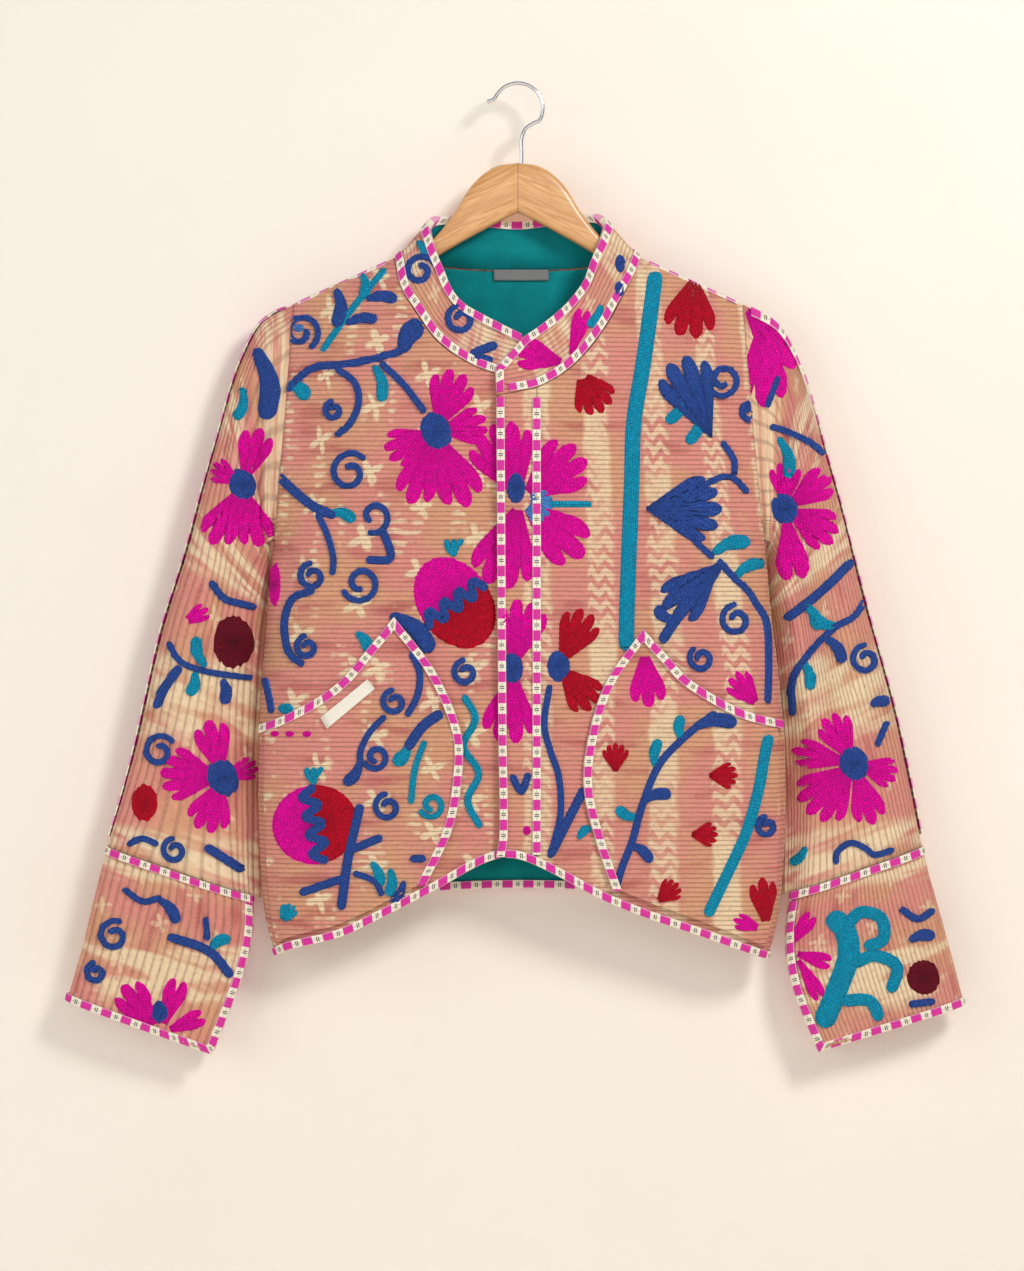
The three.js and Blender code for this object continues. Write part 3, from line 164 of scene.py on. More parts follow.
CUFF_LEFT = sleeve_table(CUFF_DEPTHS, [
    (0.374, -0.704, 0.245, -0.750), (0.385, -0.745, 0.240, -0.792), (0.397, -0.789, 0.246, -0.836),
    (0.413, -0.851, 0.270, -0.896),
])

# Collar stations from the right front end round the back to the left front end.
COLLAR = table("seam_x top_x top_y top_z", [
    (0.011, 0.004, -0.027, -0.233),
    (-0.019, -0.012, -0.026, -0.225),
    (-0.045, -0.035, -0.023, -0.213),
    (-0.066, -0.051, -0.020, -0.203),
    (-0.084, -0.062, -0.018, -0.189),
    (-0.098, -0.069, -0.018, -0.171),
    (-0.1075, -0.076, -0.014, -0.152),
    (-0.112, -0.081, 0, -0.131),
    (-0.106, -0.076, 0.008, -0.122),
    (-0.092, -0.066, 0.012, -0.120),
    (-0.052, -0.038, 0.016, -0.121),
    (0, 0, 0.017, -0.124),
    (0.052, 0.036, 0.016, -0.120),
    (0.092, 0.064, 0.012, -0.118),
    (0.106, 0.073, 0.008, -0.120),
    (0.112, 0.079, 0, -0.128),
    (0.1065, 0.075, -0.014, -0.145),
    (0.097, 0.068, -0.017, -0.162),
    (0.087, 0.062, -0.017, -0.180),
    (0.077, 0.054, -0.019, -0.193),
    (0.065, 0.044, -0.021, -0.205),
    (0.052, 0.032, -0.023, -0.216),
    (0.038, 0.018, -0.025, -0.227),
    (0.022, 0.005, -0.026, -0.236),
    (0.004, -0.007, -0.028, -0.247),
    (-0.020, -0.021, -0.031, -0.264),
])
COLLAR_LAST = 25
RIGHT_SIDE_STATION = 7
LEFT_SIDE_STATION = 15

# Pockets: the top edge, then the inner edge down to the hem, as middle lines of the tape.
POCKETS = {
    "right": {
        "side": -1,
        "top": table("x z", [(-0.232, -0.595), (-0.205, -0.583), (-0.163, -0.556), (-0.132, -0.520),
                             (-0.114, -0.498)]),
        "inner": table("x z", [(-0.114, -0.498), (-0.079, -0.543), (-0.057, -0.592), (-0.054, -0.630),
                               (-0.063, -0.684), (-0.088, -0.737)]),
    },
    "left": {
        "side": 1,
        "top": table("x z", [(0.238, -0.591), (0.202, -0.580), (0.157, -0.554), (0.134, -0.530),
                             (0.115, -0.509)]),
        "inner": table("x z", [(0.115, -0.509), (0.082, -0.555), (0.066, -0.607), (0.063, -0.650),
                               (0.074, -0.696), (0.090, -0.742)]),
    },
}
POCKET_SIDE_A = 0.84
POCKET_HEM_CLEAR = TAPE_WIDTH + 0.004
POCKET_LOW = QUILT_TOP + 4 * GAP
POCKET_TOP = POCKET_LOW + QUILT_TOP

# Soft folds, each a trough (negative) or ridge along a line of the front view
FOLD_NAMES = "x0 z0 x1 z1 width depth"
FRONT_FOLDS = table(FOLD_NAMES, [
    (-0.190, -0.250, -0.180, -0.420, 0.030, -0.004),
    (-0.150, -0.300, -0.165, -0.620, 0.045, 0.003),
    (-0.075, -0.420, -0.090, -0.700, 0.045, -0.003),
    (0.188, -0.260, 0.180, -0.430, 0.030, -0.003),
    (0.150, -0.330, 0.160, -0.640, 0.045, 0.003),
    (0.085, -0.400, 0.075, -0.690, 0.045, -0.0025),
])
BACK_FOLDS = table(FOLD_NAMES, [
    (-0.150, -0.260, -0.120, -0.700, 0.030, 0.003),
    (-0.060, -0.330, -0.045, -0.720, 0.026, -0.002),
    (0.030, -0.300, 0.055, -0.720, 0.030, 0.003),
    (0.110, -0.330, 0.100, -0.690, 0.026, -0.002),
    (0.170, -0.280, 0.190, -0.740, 0.028, 0.003),
])
# The smaller folds and drag lines that only show on the dressed jacket
FRONT_CREASES = table(FOLD_NAMES, [
    (-0.205, -0.235, -0.120, -0.330, 0.010, -0.0012),
    (-0.212, -0.300, -0.150, -0.430, 0.009, -0.0014),
    (-0.218, -0.380, -0.195, -0.560, 0.010, -0.0015),
    (-0.110, -0.230, -0.095, -0.400, 0.013, -0.0010),
    (-0.130, -0.430, -0.140, -0.520, 0.012, -0.0010),
    (-0.040, -0.330, -0.045, -0.560, 0.012, -0.0011),
    (-0.030, -0.560, -0.045, -0.700, 0.011, 0.0010),
    (-0.200, -0.610, -0.190, -0.770, 0.014, -0.0013),
    (-0.140, -0.640, -0.120, -0.740, 0.013, 0.0012),
    (0.205, -0.240, 0.150, -0.350, 0.010, -0.0013),
    (0.212, -0.320, 0.190, -0.520, 0.009, -0.0015),
    (0.120, -0.240, 0.105, -0.420, 0.012, -0.0011),
    (0.060, -0.330, 0.055, -0.520, 0.012, 0.0010),
    (0.040, -0.470, 0.045, -0.690, 0.013, -0.0012),
    (0.130, -0.420, 0.140, -0.500, 0.011, -0.0010),
    (0.200, -0.600, 0.205, -0.770, 0.013, -0.0013),
    (0.120, -0.640, 0.125, -0.750, 0.014, 0.0012),
])
BACK_CREASES = table(FOLD_NAMES, [
    (-0.205, -0.240, -0.140, -0.380, 0.011, -0.0013),
    (-0.200, -0.360, -0.185, -0.620, 0.012, -0.0014),
    (-0.110, -0.270, -0.095, -0.520, 0.013, -0.0011),
    (-0.020, -0.250, -0.010, -0.610, 0.014, 0.0010),
    (0.080, -0.290, 0.070, -0.560, 0.012, -0.0012),
    (0.205, -0.240, 0.150, -0.400, 0.011, -0.0013),
    (0.200, -0.380, 0.195, -0.680, 0.012, -0.0014),
    (-0.130, -0.560, -0.150, -0.760, 0.013, 0.0011),
    (0.130, -0.580, 0.125, -0.750, 0.012, 0.0011),
])
SLEEVE_CREASES = {
    "right": table(FOLD_NAMES, [
        (-0.236, -0.262, -0.243, -0.372, 0.008, -0.0032),
        (-0.262, -0.300, -0.272, -0.455, 0.010, -0.0022),
        (-0.246, -0.400, -0.300, -0.545, 0.010, -0.0024),
        (-0.292, -0.420, -0.322, -0.585, 0.011, 0.0020),
        (-0.250, -0.520, -0.290, -0.700, 0.012, -0.0026),
        (-0.330, -0.585, -0.352, -0.700, 0.012, -0.0020),
        (-0.285, -0.620, -0.320, -0.850, 0.013, 0.0020),
        (-0.350, -0.730, -0.375, -0.860, 0.012, -0.0016),
        (-0.262, -0.760, -0.300, -0.880, 0.012, -0.0018),
    ]),
    "left": table(FOLD_NAMES, [
        (0.214, -0.235, 0.226, -0.400, 0.009, -0.0036),
        (0.236, -0.290, 0.262, -0.450, 0.010, -0.0022),
        (0.252, -0.250, 0.276, -0.400, 0.011, 0.0018),
        (0.244, -0.420, 0.292, -0.600, 0.011, -0.0024),
        (0.292, -0.450, 0.325, -0.600, 0.012, 0.0020),
        (0.255, -0.560, 0.285, -0.720, 0.012, -0.0024),
        (0.320, -0.560, 0.350, -0.700, 0.011, -0.0018),
        (0.280, -0.720, 0.310, -0.870, 0.012, -0.0018),
        (0.350, -0.730, 0.372, -0.860, 0.012, 0.0016),
    ]),
}

# Hanger
WOOD = table("x top bottom half", [
    (0, -0.072, -0.118, 0.0075),
    (0.022, -0.076, -0.129, 0.0075),
    (0.042, -0.092, -0.140, 0.0074),
    (0.058, -0.117, -0.149, 0.0072),
    (0.076, -0.140, -0.160, 0.0070),
    (0.096, -0.1545, -0.172, 0.0068),
    (0.112, -0.1626, -0.181, 0.0062),
    (0.150, -0.1798, -0.199, 0.0070),
    (0.186, -0.197, -0.216, 0.0060),
    (0.195, -0.2025, -0.218, 0.0048),
    (0.199, -0.206, -0.216, 0.0030),
])
WIRE_R = 0.0019
WIRE_ROUND = 0.012
HOOK_LINE = [
    (0.0034, -0.0897), (0.0034, -0.062), (0.0034, -0.050), (0.0065, -0.041), (0.0138, -0.0355),
    (0.020, -0.0324), (0.0229, -0.0235), (0.0222, -0.015), (0.019, -0.0081), (0.0132, -0.0023),
    (0.0066, 0.0009), (0, 0.0019), (-0.007, 0.0008), (-0.0135, -0.0025), (-0.019, -0.0081),
    (-0.0225, -0.0132), (-0.0285, -0.0155),
]
POCKET_LABEL = [(-0.180, -0.584), (-0.174, -0.594), (-0.131, -0.5575), (-0.138, -0.549)]
NECK_LABEL = {"x": 0.003, "z": -0.174, "half": 0.0255, "height": 0.005, "tip": 0.0012}


# Reading tables

def hermite(xs, ys, at):
    """A smooth curve through table rows."""
    k = np.clip(np.searchsorted(xs, at, side="right") - 1, 0, len(xs) - 2)
    span = xs[k + 1] - xs[k]
    s = np.clip((at - xs[k]) / span, 0, 1)
    slope = np.gradient(ys, xs) if len(xs) == 2 else np.concatenate([
        [(ys[1] - ys[0]) / (xs[1] - xs[0])],
        (ys[2:] - ys[:-2]) / (xs[2:] - xs[:-2]),
        [(ys[-1] - ys[-2]) / (xs[-1] - xs[-2])],
    ])
    s2, s3 = s * s, s * s * s
    return (ys[k] * (2 * s3 - 3 * s2 + 1) + slope[k] * span * (s3 - 2 * s2 + s)
            + ys[k + 1] * (3 * s2 - 2 * s3) + slope[k + 1] * span * (s3 - s2))


def read(rows, key, name, at):
    order = np.argsort(rows[key])
    return hermite(rows[key][order], rows[name][order], np.asarray(at, float))


def read_along(rows, name, share):
    values = rows[name]
    return hermite(np.linspace(0, 1, len(values)), values, np.clip(share, 0, 1))


def smooth(x, low, high):
    t = np.clip((x - low) / (high - low), 0, 1)
    return t * t * (3 - 2 * t)


def lerp(a, b, t):
    return a + (b - a) * t


def points(x, y, z):
    return np.stack(np.broadcast_arrays(x, y, z), axis=-1)


def unit(v):
    return v / np.maximum(np.linalg.norm(v, axis=-1, keepdims=True), 1e-12)


# Smooth random relief: one value for each cell of a grid, blended between cells.
NOISE = rng.random((64, 64))


def noise(u, v, cell, seed=0):
    a, b = np.asarray(u) / cell + seed * 7.3, np.asarray(v) / cell + seed * 3.1
    i, j = np.floor(a).astype(int), np.floor(b).astype(int)
    s, t = smooth(a - i, 0, 1), smooth(b - j, 0, 1)
    at = lambda m, n: NOISE[(i + m) % 64, (j + n) % 64]
    low = lerp(at(0, 0), at(1, 0), s)
    high = lerp(at(0, 1), at(1, 1), s)
    return lerp(low, high, t) * 2 - 1


# Skins

def ridge_z(x):
    return RIDGE_NECK_Z - RIDGE_SLOPE * (np.abs(x) - NECK_HALF)


def rise(drop, face):
    left = 1 - np.clip(drop / RISE[face], 0, 1)
    return np.sqrt(np.maximum(1 - left * left, 0))


def lens(a, half, rounding, turn=math.pi / 2):
    """Along and deep of a half section with a flat middle and quarter-ellipse ends."""
    part = np.abs(a)
    angle = (part - FLAT_SHARE) / (1 - FLAT_SHARE) * turn
    along = half - rounding + rounding * np.sin(angle) / np.sin(turn)
    flat = part <= FLAT_SHARE
    along = np.where(flat, part / FLAT_SHARE * (half - rounding), along)
    return np.sign(a) * along, np.where(flat, 1.0, np.cos(angle))


def lens_at(along, half, rounding, turn=math.pi / 2):
    part = np.abs(along)
    angle = np.arcsin(np.clip((part - half + rounding) / rounding * np.sin(turn), 0, 1))
    inside = part <= half - rounding
    return np.sign(along) * np.where(
        inside, part / (half - rounding) * FLAT_SHARE, FLAT_SHARE + angle / turn * (1 - FLAT_SHARE))


def folds_at(folds, x, z):
    total = 0
    for x0, z0, x1, z1, width, depth in zip(*(folds[name] for name in FOLD_NAMES.split())):
        dx, dz = x1 - x0, z1 - z0
        share = ((x - x0) * dx + (z - z0) * dz) / (dx * dx + dz * dz)
        off = np.abs((x - x0) * dz - (z - z0) * dx) / math.hypot(dx, dz) / width
        fade = smooth(share, -0.15, 0.25) * (1 - smooth(share, 0.75, 1.15))
        total = total + depth * np.exp(-off * off) * fade
    return total


def side_turn(z):
    return lerp(math.pi / 2, ARMHOLE_TURN, smooth(z, UNDERARM_Z - 0.004, UNDERARM_Z + 0.032))


def body_row(z):
    right, left = read(BODY, "z", "right", z), read(BODY, "z", "left", z)
    return (right + left) / 2, (left - right) / 2 - QUILT


def body_x(a, z):
    middle, half = body_row(z)
    return middle + lens(a, half, SIDE_ROUND, side_turn(z))[0]


def body_a(x, z):
    middle, half = body_row(z)
    return lens_at(np.clip(x - middle, -half, half), half, SIDE_ROUND, side_turn(z))


def overlap_lift(x):
    return OVERLAP * (1 - smooth(x, OVERLAP_END_X, OVERLAP_END_X + OVERLAP_FADE))


def body_skin(face, a, z, overlap=0.0):
    middle, half = body_row(z)
    along, deep = lens(a, half, SIDE_ROUND, side_turn(z))
    x = middle + along
    crown = 1 + CROWN * (1 - (along / half) ** 2)
    folds = folds_at(FRONT_FOLDS if face == "front" else BACK_FOLDS, x, z) * deep
    up = rise(ridge_z(x) - z, face)
    depth = (read(BODY, "z", face, z) * crown + folds) * deep * up
    depth = depth + overlap * overlap_lift(x) * np.minimum(1, up * 2)
    return points(x, -depth if face == "front" else depth, z)


def tube_skin(rows, a, v, hole=None):
    """A sleeve. a runs 0 at the outer edge, 0.5 at the inner edge by way of the front, then back to 1."""
    get = {name: read_along(rows, name, v) for name in rows}
    turn = a - np.floor(a)
    front = turn <= 0.5
    share = np.where(front, turn * 4 - 1, 3 - turn * 4)
    dx, dz = get["inner_x"] - get["outer_x"], get["inner_z"] - get["outer_z"]
    length = np.hypot(dx, dz)
    half = length / 2 - QUILT
    across, deep = lens(share, half, get["round"])
    along = 0.5 + across / length
    crown = 1 + 0.18 * (1 - (across / half) ** 2)
    slim = 1 - get["tuck"] * smooth(along, 0.72, 1)
    depth = np.where(front, -get["front"] * slim, get["back"]) * deep * crown
    middle = lerp(get["outer_y"], get["inner_y"], along)
    own = points(get["outer_x"] + dx * along, middle + depth, get["outer_z"] + dz * along)
    if hole is None:
        return own
    start = hole(share, front) - tube_skin(rows, a, np.zeros_like(v))
    return own + start * (np.maximum(1 - v / ARMHOLE_BLEND, 0) ** 2)[..., None]


ARMHOLE_BLEND = 0.3
ARMHOLE_TOP = float(ridge_z(body_row(SHOULDER_Z)[1]))


def armhole(side):
    def hole(share, front):
        z = lerp(ARMHOLE_TOP, UNDERARM_Z + 0.002, 0.5 + np.sin(share * math.pi / 2) / 2)
        low = smooth(share, 0.1, 0.95)
        spot = np.where(front[..., None], body_skin("front", side, z), body_skin("back", side, z))
        return spot * points(1, 1 - 0.4 * low, 1) + points(side * GAP, 0, 0.004 * low)
    return hole


def neck_z(rows, x):
    ridge = ridge_z(x)
    if rows is None:
        own = BACK_NECK_Z + (RIDGE_NECK_Z - BACK_NECK_Z) * (x / NECK_HALF) ** 2
    else:
        own = read(rows, "x", "z", x)
    return np.where(np.abs(x) < NECK_HALF, np.minimum(own, ridge), ridge)


def collar_skin(s, v):
    s = np.clip(s, 0, 1)
    x = np.clip(read_along(COLLAR, "seam_x", s), -NECK_HALF, NECK_HALF)
    station = s * COLLAR_LAST
    back = (station > RIGHT_SIDE_STATION) & (station < LEFT_SIDE_STATION)
    left = station >= (RIGHT_SIDE_STATION + LEFT_SIDE_STATION) / 2
    z = np.where(back, neck_z(None, x), np.where(left, neck_z(NECK_LEFT, x), neck_z(NECK_RIGHT, x)))
    over = np.where(left & ~back, 1.0, 0.0)
    a = body_a(x, z)
    seam = np.where(back[..., None], body_skin("back", a, z), body_skin("front", a, z, over))
    top_y = read_along(COLLAR, "top_y", s) - over * overlap_lift(x)
    top = points(read_along(COLLAR, "top_x", s), top_y, read_along(COLLAR, "top_z", s))
    return lerp(seam, top, np.asarray(v)[..., None])


def surface(skin, out, limits=((-9, 9), (-9, 9)), creases=None, step=(1e-4, 1e-4)):
    """A cloth surface: points, outward normals and the two slopes at parameter pairs."""
    def touch(p, q):
        p, q = np.broadcast_arrays(np.clip(p, *limits[0]), np.clip(q, *limits[1]))
        p0, p1 = np.maximum(p - step[0], limits[0][0]), np.minimum(p + step[0], limits[0][1])
        q0, q1 = np.maximum(q - step[1], limits[1][0]), np.minimum(q + step[1], limits[1][1])
        along_p = (skin(p1, q) - skin(p0, q)) / (p1 - p0)[..., None]
        along_q = (skin(p, q1) - skin(p, q0)) / (q1 - q0)[..., None]
        spot, normal = skin(p, q), unit(np.cross(along_p, along_q)) * out
        if creases is not None:
            spot = spot + normal * folds_at(creases, spot[..., 0], spot[..., 2])[..., None]
        return spot, normal, along_p, along_q
    return touch


BODY_LIMITS = ((-1, 1), (-9, 9))
TUBE_LIMITS = ((-9, 9), (0, 1))
on_front = {
    "right": surface(lambda a, z: body_skin("front", a, z), 1, BODY_LIMITS, FRONT_CREASES),
    "left": surface(lambda a, z: body_skin("front", a, z, 1.0), 1, BODY_LIMITS, FRONT_CREASES),
}
on_back = surface(lambda a, z: body_skin("back", a, z), -1, BODY_LIMITS, BACK_CREASES)
on_sleeve = {
    "right": surface(lambda a, v: tube_skin(SLEEVE_RIGHT, a, v, armhole(-1)), -1, TUBE_LIMITS,
                     SLEEVE_CREASES["right"]),
    "left": surface(lambda a, v: tube_skin(SLEEVE_LEFT, a, v, armhole(1)), 1, TUBE_LIMITS,
                    SLEEVE_CREASES["left"]),
}
on_cuff = {
    "right": surface(lambda a, v: tube_skin(CUFF_RIGHT, a, v), -1, TUBE_LIMITS, SLEEVE_CREASES["right"]),
    "left": surface(lambda a, v: tube_skin(CUFF_LEFT, a, v), 1, TUBE_LIMITS, SLEEVE_CREASES["left"]),
}
on_collar = surface(collar_skin, -1, ((0, 1), (0, 1)))


# Building meshes

def build_mesh(name, spots, quads, uv, merge=True, sharp=None):
    """An object from points, quads and a uv in metres for each point."""
    mesh = bpy.data.meshes.new(name)
    mesh.from_pydata(spots.tolist(), [], quads.tolist() if hasattr(quads, "tolist") else quads)
    layer = mesh.uv_layers.new(name="flat")
    index = np.zeros(len(mesh.loops), np.int32)
    mesh.loops.foreach_get("vertex_index", index)
    layer.data.foreach_set("uv", uv[index].astype(np.float32).ravel())
    if merge:
        work = bmesh.new()
        work.from_mesh(mesh)
        bmesh.ops.remove_doubles(work, verts=work.verts, dist=2e-6)
        bmesh.ops.recalc_face_normals(work, faces=work.faces)
        work.to_mesh(mesh)
        work.free()
    mesh.polygons.foreach_set("use_smooth", np.full(len(mesh.polygons), True))
    if sharp is not None:
        mesh.set_sharp_from_angle(angle=sharp)
    made = bpy.data.objects.new(name, mesh)
    bpy.context.collection.objects.link(made)
    return made


def grid_quads(rows, columns, first=0, closed=False):
    i, j = np.meshgrid(np.arange(rows - 1), np.arange(columns if closed else columns - 1), indexing="ij")
    nxt = (j + 1) % columns
    corner = [i * columns + j, i * columns + nxt, (i + 1) * columns + nxt, (i + 1) * columns + j]
    return np.stack(corner, axis=-1).reshape(-1, 4) + first


def outline_of(rows, columns, first=0):
    ids = np.arange(rows * columns).reshape(rows, columns) + first
    return np.concatenate([ids[0, :-1], ids[:-1, -1], ids[-1, :0:-1], ids[:0:-1, 0]])


def thinned(count, step):
    return np.unique(np.r_[np.arange(0, count - 1, step), count - 1])


def shell(name, outer, inner, uv, row_step=5, column_step=3):
    """A thin closed shell: a fine outer grid and an inner grid that keeps fewer rows and columns."""
    rows, columns = outer.shape[:2]
    kept_rows, kept_columns = thinned(rows, row_step), thinned(columns, column_step)
    plain = np.ix_(kept_rows, kept_columns)
    first = rows * columns
    fine = outline_of(rows, columns)
    coarse = outline_of(len(kept_rows), len(kept_columns))
    fine_of = (kept_rows[:, None] * columns + kept_columns).ravel()[coarse]
    position = {int(spot): k for k, spot in enumerate(fine)}
    faces = grid_quads(rows, columns).tolist()
    faces += grid_quads(len(kept_rows), len(kept_columns), first)[:, ::-1].tolist()
    for k, here in enumerate(coarse):
        following = (k + 1) % len(coarse)
        start, end = position[int(fine_of[k])], position[int(fine_of[following])]
        end += 0 if end > start else len(fine)
        span = [int(fine[m % len(fine)]) for m in range(start, end + 1)]
        faces.append([first + int(here), first + int(coarse[following])] + span[::-1])
    spots = np.concatenate([outer.reshape(-1, 3), inner[plain].reshape(-1, 3)])
    uvs = np.concatenate([uv.reshape(-1, 2), uv[plain].reshape(-1, 2)])
    return build_mesh(name, spots, faces, uvs)


def rod(name, rings, uv, sharp):
    """Rings joined one to the next, with a face over each end."""
    count, sides = rings.shape[:2]
    faces = grid_quads(count, sides, closed=True).tolist()
    faces += [list(range(sides)), list(range((count - 1) * sides, count * sides))]
    return build_mesh(name, rings.reshape(-1, 3), faces, uv.reshape(-1, 2), sharp=math.radians(sharp))


def arc_lengths(line):
    return np.concatenate([[0], np.cumsum(np.linalg.norm(np.diff(line, axis=0), axis=-1))])


def even(low, high, count, line):
    """Parameters from low to high whose points on a line lie evenly spaced."""
    fine = np.linspace(low, high, 400)
    along = arc_lengths(line(fine))
    return np.interp(np.linspace(0, along[-1], count), along, fine), along[-1]


# Node helpers: sums and products of sockets, written as formulas

class Value:
    tree = None

    def __init__(self, socket):
        self.socket = socket

    @classmethod
    def math(cls, operation, *inputs):
        node = cls.tree.nodes.new("ShaderNodeMath")
        node.operation = operation
        for slot, given in zip(node.inputs, inputs):
            if isinstance(given, Value):
                cls.tree.links.new(given.socket, slot)
            else:
                slot.default_value = given
        return cls(node.outputs[0])

    def __add__(self, other):
        return Value.math("ADD", self, other)

    def __sub__(self, other):
        return Value.math("SUBTRACT", self, other)

    def __rsub__(self, other):
        return Value.math("SUBTRACT", other, self)

    def __mul__(self, other):
        return Value.math("MULTIPLY", self, other)

    def __truediv__(self, other):
        return Value.math("DIVIDE", self, other)

    __radd__, __rmul__ = __add__, __mul__

    def floor(self):
        return Value.math("FLOOR", self)

    def fract(self):
        return Value.math("FRACT", self)

    def abs(self):
        return Value.math("ABSOLUTE", self)

    def sin(self):
        return Value.math("SINE", self)

    def between(self, low, high):
        """0 below low and 1 above high; falls instead where high is the smaller."""
        node = Value.tree.nodes.new("ShaderNodeMapRange")
        node.interpolation_type = "SMOOTHSTEP"
        Value.tree.links.new(self.socket, node.inputs[0])
        node.inputs[1].default_value, node.inputs[2].default_value = low, high
        return Value(node.outputs[0])


def vector_of(x, y, z=0.0):
    node = Value.tree.nodes.new("ShaderNodeCombineXYZ")
    for slot, given in zip(node.inputs, (x, y, z)):
        if isinstance(given, Value):
            Value.tree.links.new(given.socket, slot)
        else:
            slot.default_value = given
    return node.outputs[0]


def flat_uv():
    node = Value.tree.nodes.new("ShaderNodeUVMap")
    node.uv_map = "flat"
    parts = Value.tree.nodes.new("ShaderNodeSeparateXYZ")
    Value.tree.links.new(node.outputs[0], parts.inputs[0])
    return Value(parts.outputs[0]), Value(parts.outputs[1])


def cloud(vector, scale, detail=2.0):
    node = Value.tree.nodes.new("ShaderNodeTexNoise")
    node.inputs["Scale"].default_value = scale
    node.inputs["Detail"].default_value = detail
    Value.tree.links.new(vector, node.inputs["Vector"])
    return Value(node.outputs[0])


def chance(x, y):
    node = Value.tree.nodes.new("ShaderNodeTexWhiteNoise")
    node.noise_dimensions = "2D"
    Value.tree.links.new(vector_of(x, y), node.inputs["Vector"])
    return Value(node.outputs[0])


def blend_colour(share, a, b):
    node = Value.tree.nodes.new("ShaderNodeMix")
    node.data_type = "RGBA"
    Value.tree.links.new(share.socket, node.inputs[0])
    for slot, given in ((node.inputs[6], a), (node.inputs[7], b)):
        if hasattr(given, "links"):
            Value.tree.links.new(given, slot)
        else:
            slot.default_value = (*given, 1)
    return node.outputs[2]


def shaded(colour, amount):
    """A colour socket made lighter or darker by a value round 1."""
    node = Value.tree.nodes.new("ShaderNodeVectorMath")
    node.operation = "SCALE"
    if hasattr(colour, "links"):
        Value.tree.links.new(colour, node.inputs[0])
    else:
        node.inputs[0].default_value = colour
    Value.tree.links.new(amount.socket, node.inputs["Scale"])
    return node.outputs[0]


def rgb(hex_colour):
    """A linear colour from its usual screen value."""
    parts = [int(hex_colour[k:k + 2], 16) / 255 for k in (0, 2, 4)]
    return tuple(c / 12.92 if c <= 0.04045 else ((c + 0.055) / 1.055) ** 2.4 for c in parts)


def new_material(name, roughness=0.9, sheen=0.0):
    made = bpy.data.materials.new(name)
    made.use_nodes = True
    Value.tree = made.node_tree
    shader = made.node_tree.nodes["Principled BSDF"]
    shader.inputs["Roughness"].default_value = roughness
    shader.inputs["Sheen Weight"].default_value = sheen
    return made, shader


def finish_material(shader, colour, height=None, depth=0.0005, strength=1.0):
    Value.tree.links.new(colour, shader.inputs["Base Color"])
    if height is not None:
        bump = Value.tree.nodes.new("ShaderNodeBump")
        bump.inputs["Distance"].default_value = depth
        bump.inputs["Strength"].default_value = strength
        Value.tree.links.new(height.socket, bump.inputs["Height"])
        Value.tree.links.new(bump.outputs[0], shader.inputs["Normal"])


# Colours
PINK = rgb("CC8579")
ROSE = rgb("AE5C58")
CREAM = rgb("E0CCA8")
OCHRE = rgb("C79C70")
THREAD = rgb("D2A590")
STEP_LENGTH = 0.0052  # one running stitch and the gap after it
CHAIN_ROW = 0.00165
CHAIN_LENGTH = 0.0031
TAPE_REPEAT = 0.0193  # a pink block and a cream one
WEAVE = 0.0006
LABEL_WEAVE = 0.0005
STAR_POINTS = 4


def woven(x, y, wide, tall):
    return ((x / wide).fract() - 0.5).abs() + ((y / tall).fract() - 0.5).abs()


def star(x, y, cell_x, cell_y, radius):
    """A soft cream star in each cell of a half-drop pattern."""
    column = (x / cell_x).floor()
    drop = (column * 0.5).fract() * cell_y
    cx = ((x / cell_x).fract() - 0.5) * cell_x
    cy = (((y + drop) / cell_y).fract() - 0.5) * cell_y
    far = Value.math("SQRT", cx * cx + cy * cy)
    angle = Value.math("ARCTAN2", cy, cx)
    edge = ((angle * STAR_POINTS).sin() * 0.35 + 0.65) * radius
    return (far / edge).between(1.15, 0.8)


def ground_colour(style, x, y):
    """The printed ground in one of three styles. x runs along the rows of stitches and y across them."""
    place = vector_of(x, y)
    wobble = cloud(place, 38.0) - 0.5
    fine = cloud(place, 260.0, 3.0)
    big = cloud(place, 14.0, 3.0)
    wx, wy = x + wobble * 0.010, y + wobble * 0.012
    if style == "stars":
        marks = star(wx, wy, 0.052, 0.060, 0.0135)
        parts = (cloud(vector_of(x * 2.4, y * 0.8), 20.0) - 0.5).between(0.06, 0.16)
        bars = (wy / 0.0086).fract().between(0.45, 0.6) * parts
        cream = Value.math("MAXIMUM", marks, bars * 0.8)
    elif style == "bands":
        stripe = (wx / 0.058).fract()
        band = stripe.between(0.04, 0.12) * stripe.between(0.56, 0.46)
        chevron = ((wx / 0.0145).fract() - 0.5).abs() * 0.016
        leaf = (((wy + chevron) / 0.0145).fract() - 0.5).abs().between(0.16, 0.30)
        cream = band * Value.math("MAXIMUM", leaf * 0.8, big.between(0.40, 0.62) * 0.9)
    else:
        stripe = ((wx + wy * 0.22) / 0.118).fract()
        band = stripe.between(0.06, 0.16) * stripe.between(0.60, 0.50)
        broken = cloud(vector_of(x * 3.2, y * 0.6), 26.0).between(0.36, 0.58)
        cream = Value.math("MAXIMUM", band * broken, star(wx, wy, 0.043, 0.054, 0.009) * 0.6)
    ground = blend_colour(big.between(0.42, 0.62) * 0.6, PINK, OCHRE)
    ground = blend_colour(cloud(vector_of(x * 0.6, y * 2.5), 22.0).between(0.52, 0.72) * 0.75, ground, ROSE)
    ground = blend_colour(cream * fine.between(0.18, 0.42) * 0.86, ground, CREAM)
    return shaded(ground, fine * 0.34 + 0.83)


